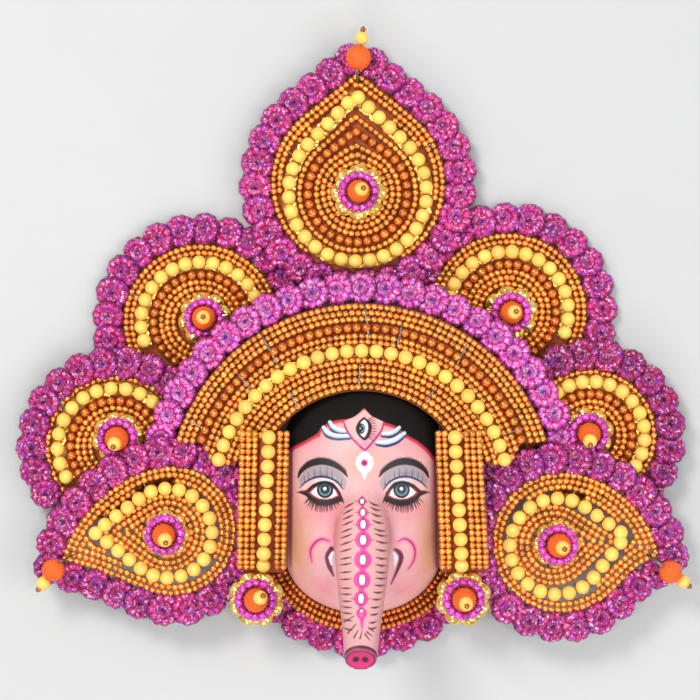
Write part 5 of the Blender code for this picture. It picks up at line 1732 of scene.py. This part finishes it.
# finer mesh where there is painted detail, finest where its colour changes
for limit in (0.0, 0.18, 0.36):
    co, normals = mesh_places()
    u, v = picture_of(co)
    upper = (normals[:, 2] > -0.2) & (co[:, 2] > 20.0)
    shown = coat(co)[0] ** (1 / 2.2)
    bm.edges.ensure_lookup_table()
    ends = np.array([(e.verts[0].index, e.verts[1].index) for e in bm.edges])
    apart = np.abs(shown[ends[:, 0]] - shown[ends[:, 1]]).max(1)
    length = np.linalg.norm(co[ends[:, 0]] - co[ends[:, 1]], axis=1)
    if limit == 0.0:
        share = share_of(co[:, 0] - FACE_X, co[:, 1])
        high = face_height(co[:, 0] - FACE_X, co[:, 1], np.minimum(share, 1.0), 0.0)
        marked = upper & (co[:, 2] > high - 1.6) & within(u, v, DETAIL)
        busy = (apart > 0.10) & upper[ends[:, 0]]
    else:
        marked = np.zeros(len(co), bool)
        busy = (apart > limit) & upper[ends[:, 0]] & (length < (1.0 if limit < 0.2 else 0.5))
        if limit > 0.2:
            busy &= within(u, v, EYES)[ends[:, 0]]
    for k in np.nonzero(busy)[0]:
        for f in bm.edges[int(k)].link_faces:
            for corner in f.verts:
                marked[corner.index] = True
    chosen = [e for e in bm.edges if marked[e.verts[0].index] and marked[e.verts[1].index]]
    bmesh.ops.subdivide_edges(bm, edges=chosen, cuts=1, use_grid_fill=True)
co, normals = mesh_places()
colours, in_hair = coat(co)
rim_share = share_of(co[:, 0] - FACE_X, co[:, 1])

# inside of the shell and its rim stay bare
inside_shell = (rim_share < 0.985) & (co[:, 2] < face_height(co[:, 0] - FACE_X, co[:, 1], np.minimum(rim_share, 1.0), 0.0) - 1.9) & (normals[:, 2] < 0.25)
inside_shell |= (co[:, 2] < 0.4)
inward = normals[:, 0] * (co[:, 0] - FACE_X) + normals[:, 1] * (co[:, 1] - MID_Y) < 0
inside_shell |= (rim_share > 0.85) & (rim_share < 0.985) & inward & (co[:, 2] < 45)
inside_shell &= ~((co[:, 2] > face_height(co[:, 0] - FACE_X, co[:, 1], np.minimum(rim_share, 1.0), 0.0) - 1.4) & (rim_share < 1.0))
inside_shell &= ~((co[:, 1] < -100) & (trunk_gap(co) < 1.2) & (co[:, 2] > 60))

bm.to_mesh(mesh)
bm.free()
mesh.name = "painted_face"
layer = mesh.attributes.new("paint", "FLOAT_COLOR", "POINT")
layer.data.foreach_set("color", np.hstack([colours, np.ones((len(co), 1))]).astype(np.float32).ravel())
dull = mesh.attributes.new("matte", "FLOAT", "POINT")
dull.data.foreach_set("value", in_hair.astype(np.float32))
mesh.materials.clear()
mesh.materials.append(PAINT)
mesh.materials.append(RAW)
loop_start = np.empty(len(mesh.polygons), np.int32)
mesh.polygons.foreach_get("loop_start", loop_start)
corner = np.empty(len(mesh.loops), np.int32)
mesh.loops.foreach_get("vertex_index", corner)
owner = np.repeat(np.arange(len(mesh.polygons)), np.diff(np.append(loop_start, len(corner))))
bare = np.zeros(len(mesh.polygons))
np.add.at(bare, owner, inside_shell[corner])
size = np.bincount(owner, minlength=len(mesh.polygons))
mesh.polygons.foreach_set("material_index", (bare > size * 0.6).astype(np.int32))
mesh.polygons.foreach_set("use_smooth", np.ones(len(mesh.polygons), bool))
face = bpy.data.objects.new("painted_face", mesh)
bpy.context.scene.collection.objects.link(face)
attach(face, "root")
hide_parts("face_shell")

# ---------------------------------------------------------------------------
# floor, light, camera
# ---------------------------------------------------------------------------
bm = bmesh.new()
bmesh.ops.create_grid(bm, x_segments=8, y_segments=8, size=3.0)
floor_mesh = bpy.data.meshes.new("floor")
bm.to_mesh(floor_mesh)
bm.free()
floor = bpy.data.objects.new("floor", floor_mesh)
floor.location.z = -0.0006
bpy.context.scene.collection.objects.link(floor)
floor_mesh.materials.append(floor_look())


def area_light(name, place, aim, size, power, colour=(1, 1, 1)):
    data = bpy.data.lights.new(name, "AREA")
    data.shape = "DISK"
    data.size = size
    data.energy = power
    data.color = colour
    obj = bpy.data.objects.new(name, data)
    obj.location = place
    obj.rotation_euler = (Vector(aim) - Vector(place)).to_track_quat("-Z", "Y").to_euler()
    bpy.context.scene.collection.objects.link(obj)


area_light("key", (-0.75, 0.85, 1.5), (0, -0.02, 0.02), 0.6, 19.0, (1.0, 0.985, 0.96))
area_light("fill", (1.1, -0.3, 1.2), (0, -0.02, 0.02), 1.0, 8.0, (0.96, 0.98, 1.0))
area_light("low", (-0.3, -1.2, 0.9), (0, -0.02, 0.02), 0.9, 6.0)
area_light("pair_left", (-0.33, -0.10, 1.55), (0, -0.02, 0.02), 0.16, 2.6)
area_light("pair_right", (0.33, -0.10, 1.55), (0, -0.02, 0.02), 0.16, 2.6)
world = bpy.data.worlds.new("studio")
world.use_nodes = True
world.node_tree.nodes["Background"].inputs["Color"].default_value = (0.93, 0.95, 1.0, 1.0)
world.node_tree.nodes["Background"].inputs["Strength"].default_value = 0.68
bpy.context.scene.world = world
bpy.context.scene.view_settings.view_transform = "Standard"

lens = bpy.data.cameras.new("camera")
lens.sensor_width = 36.0
lens.lens = FOCAL / 700.0 * 36.0
lens.clip_start = 0.05
lens.clip_end = 20.0
camera = bpy.data.objects.new("camera", lens)
camera.location = [value * MM for value in EYE]
bpy.context.scene.collection.objects.link(camera)
bpy.context.scene.camera = camera

bpy.context.view_layer.update()
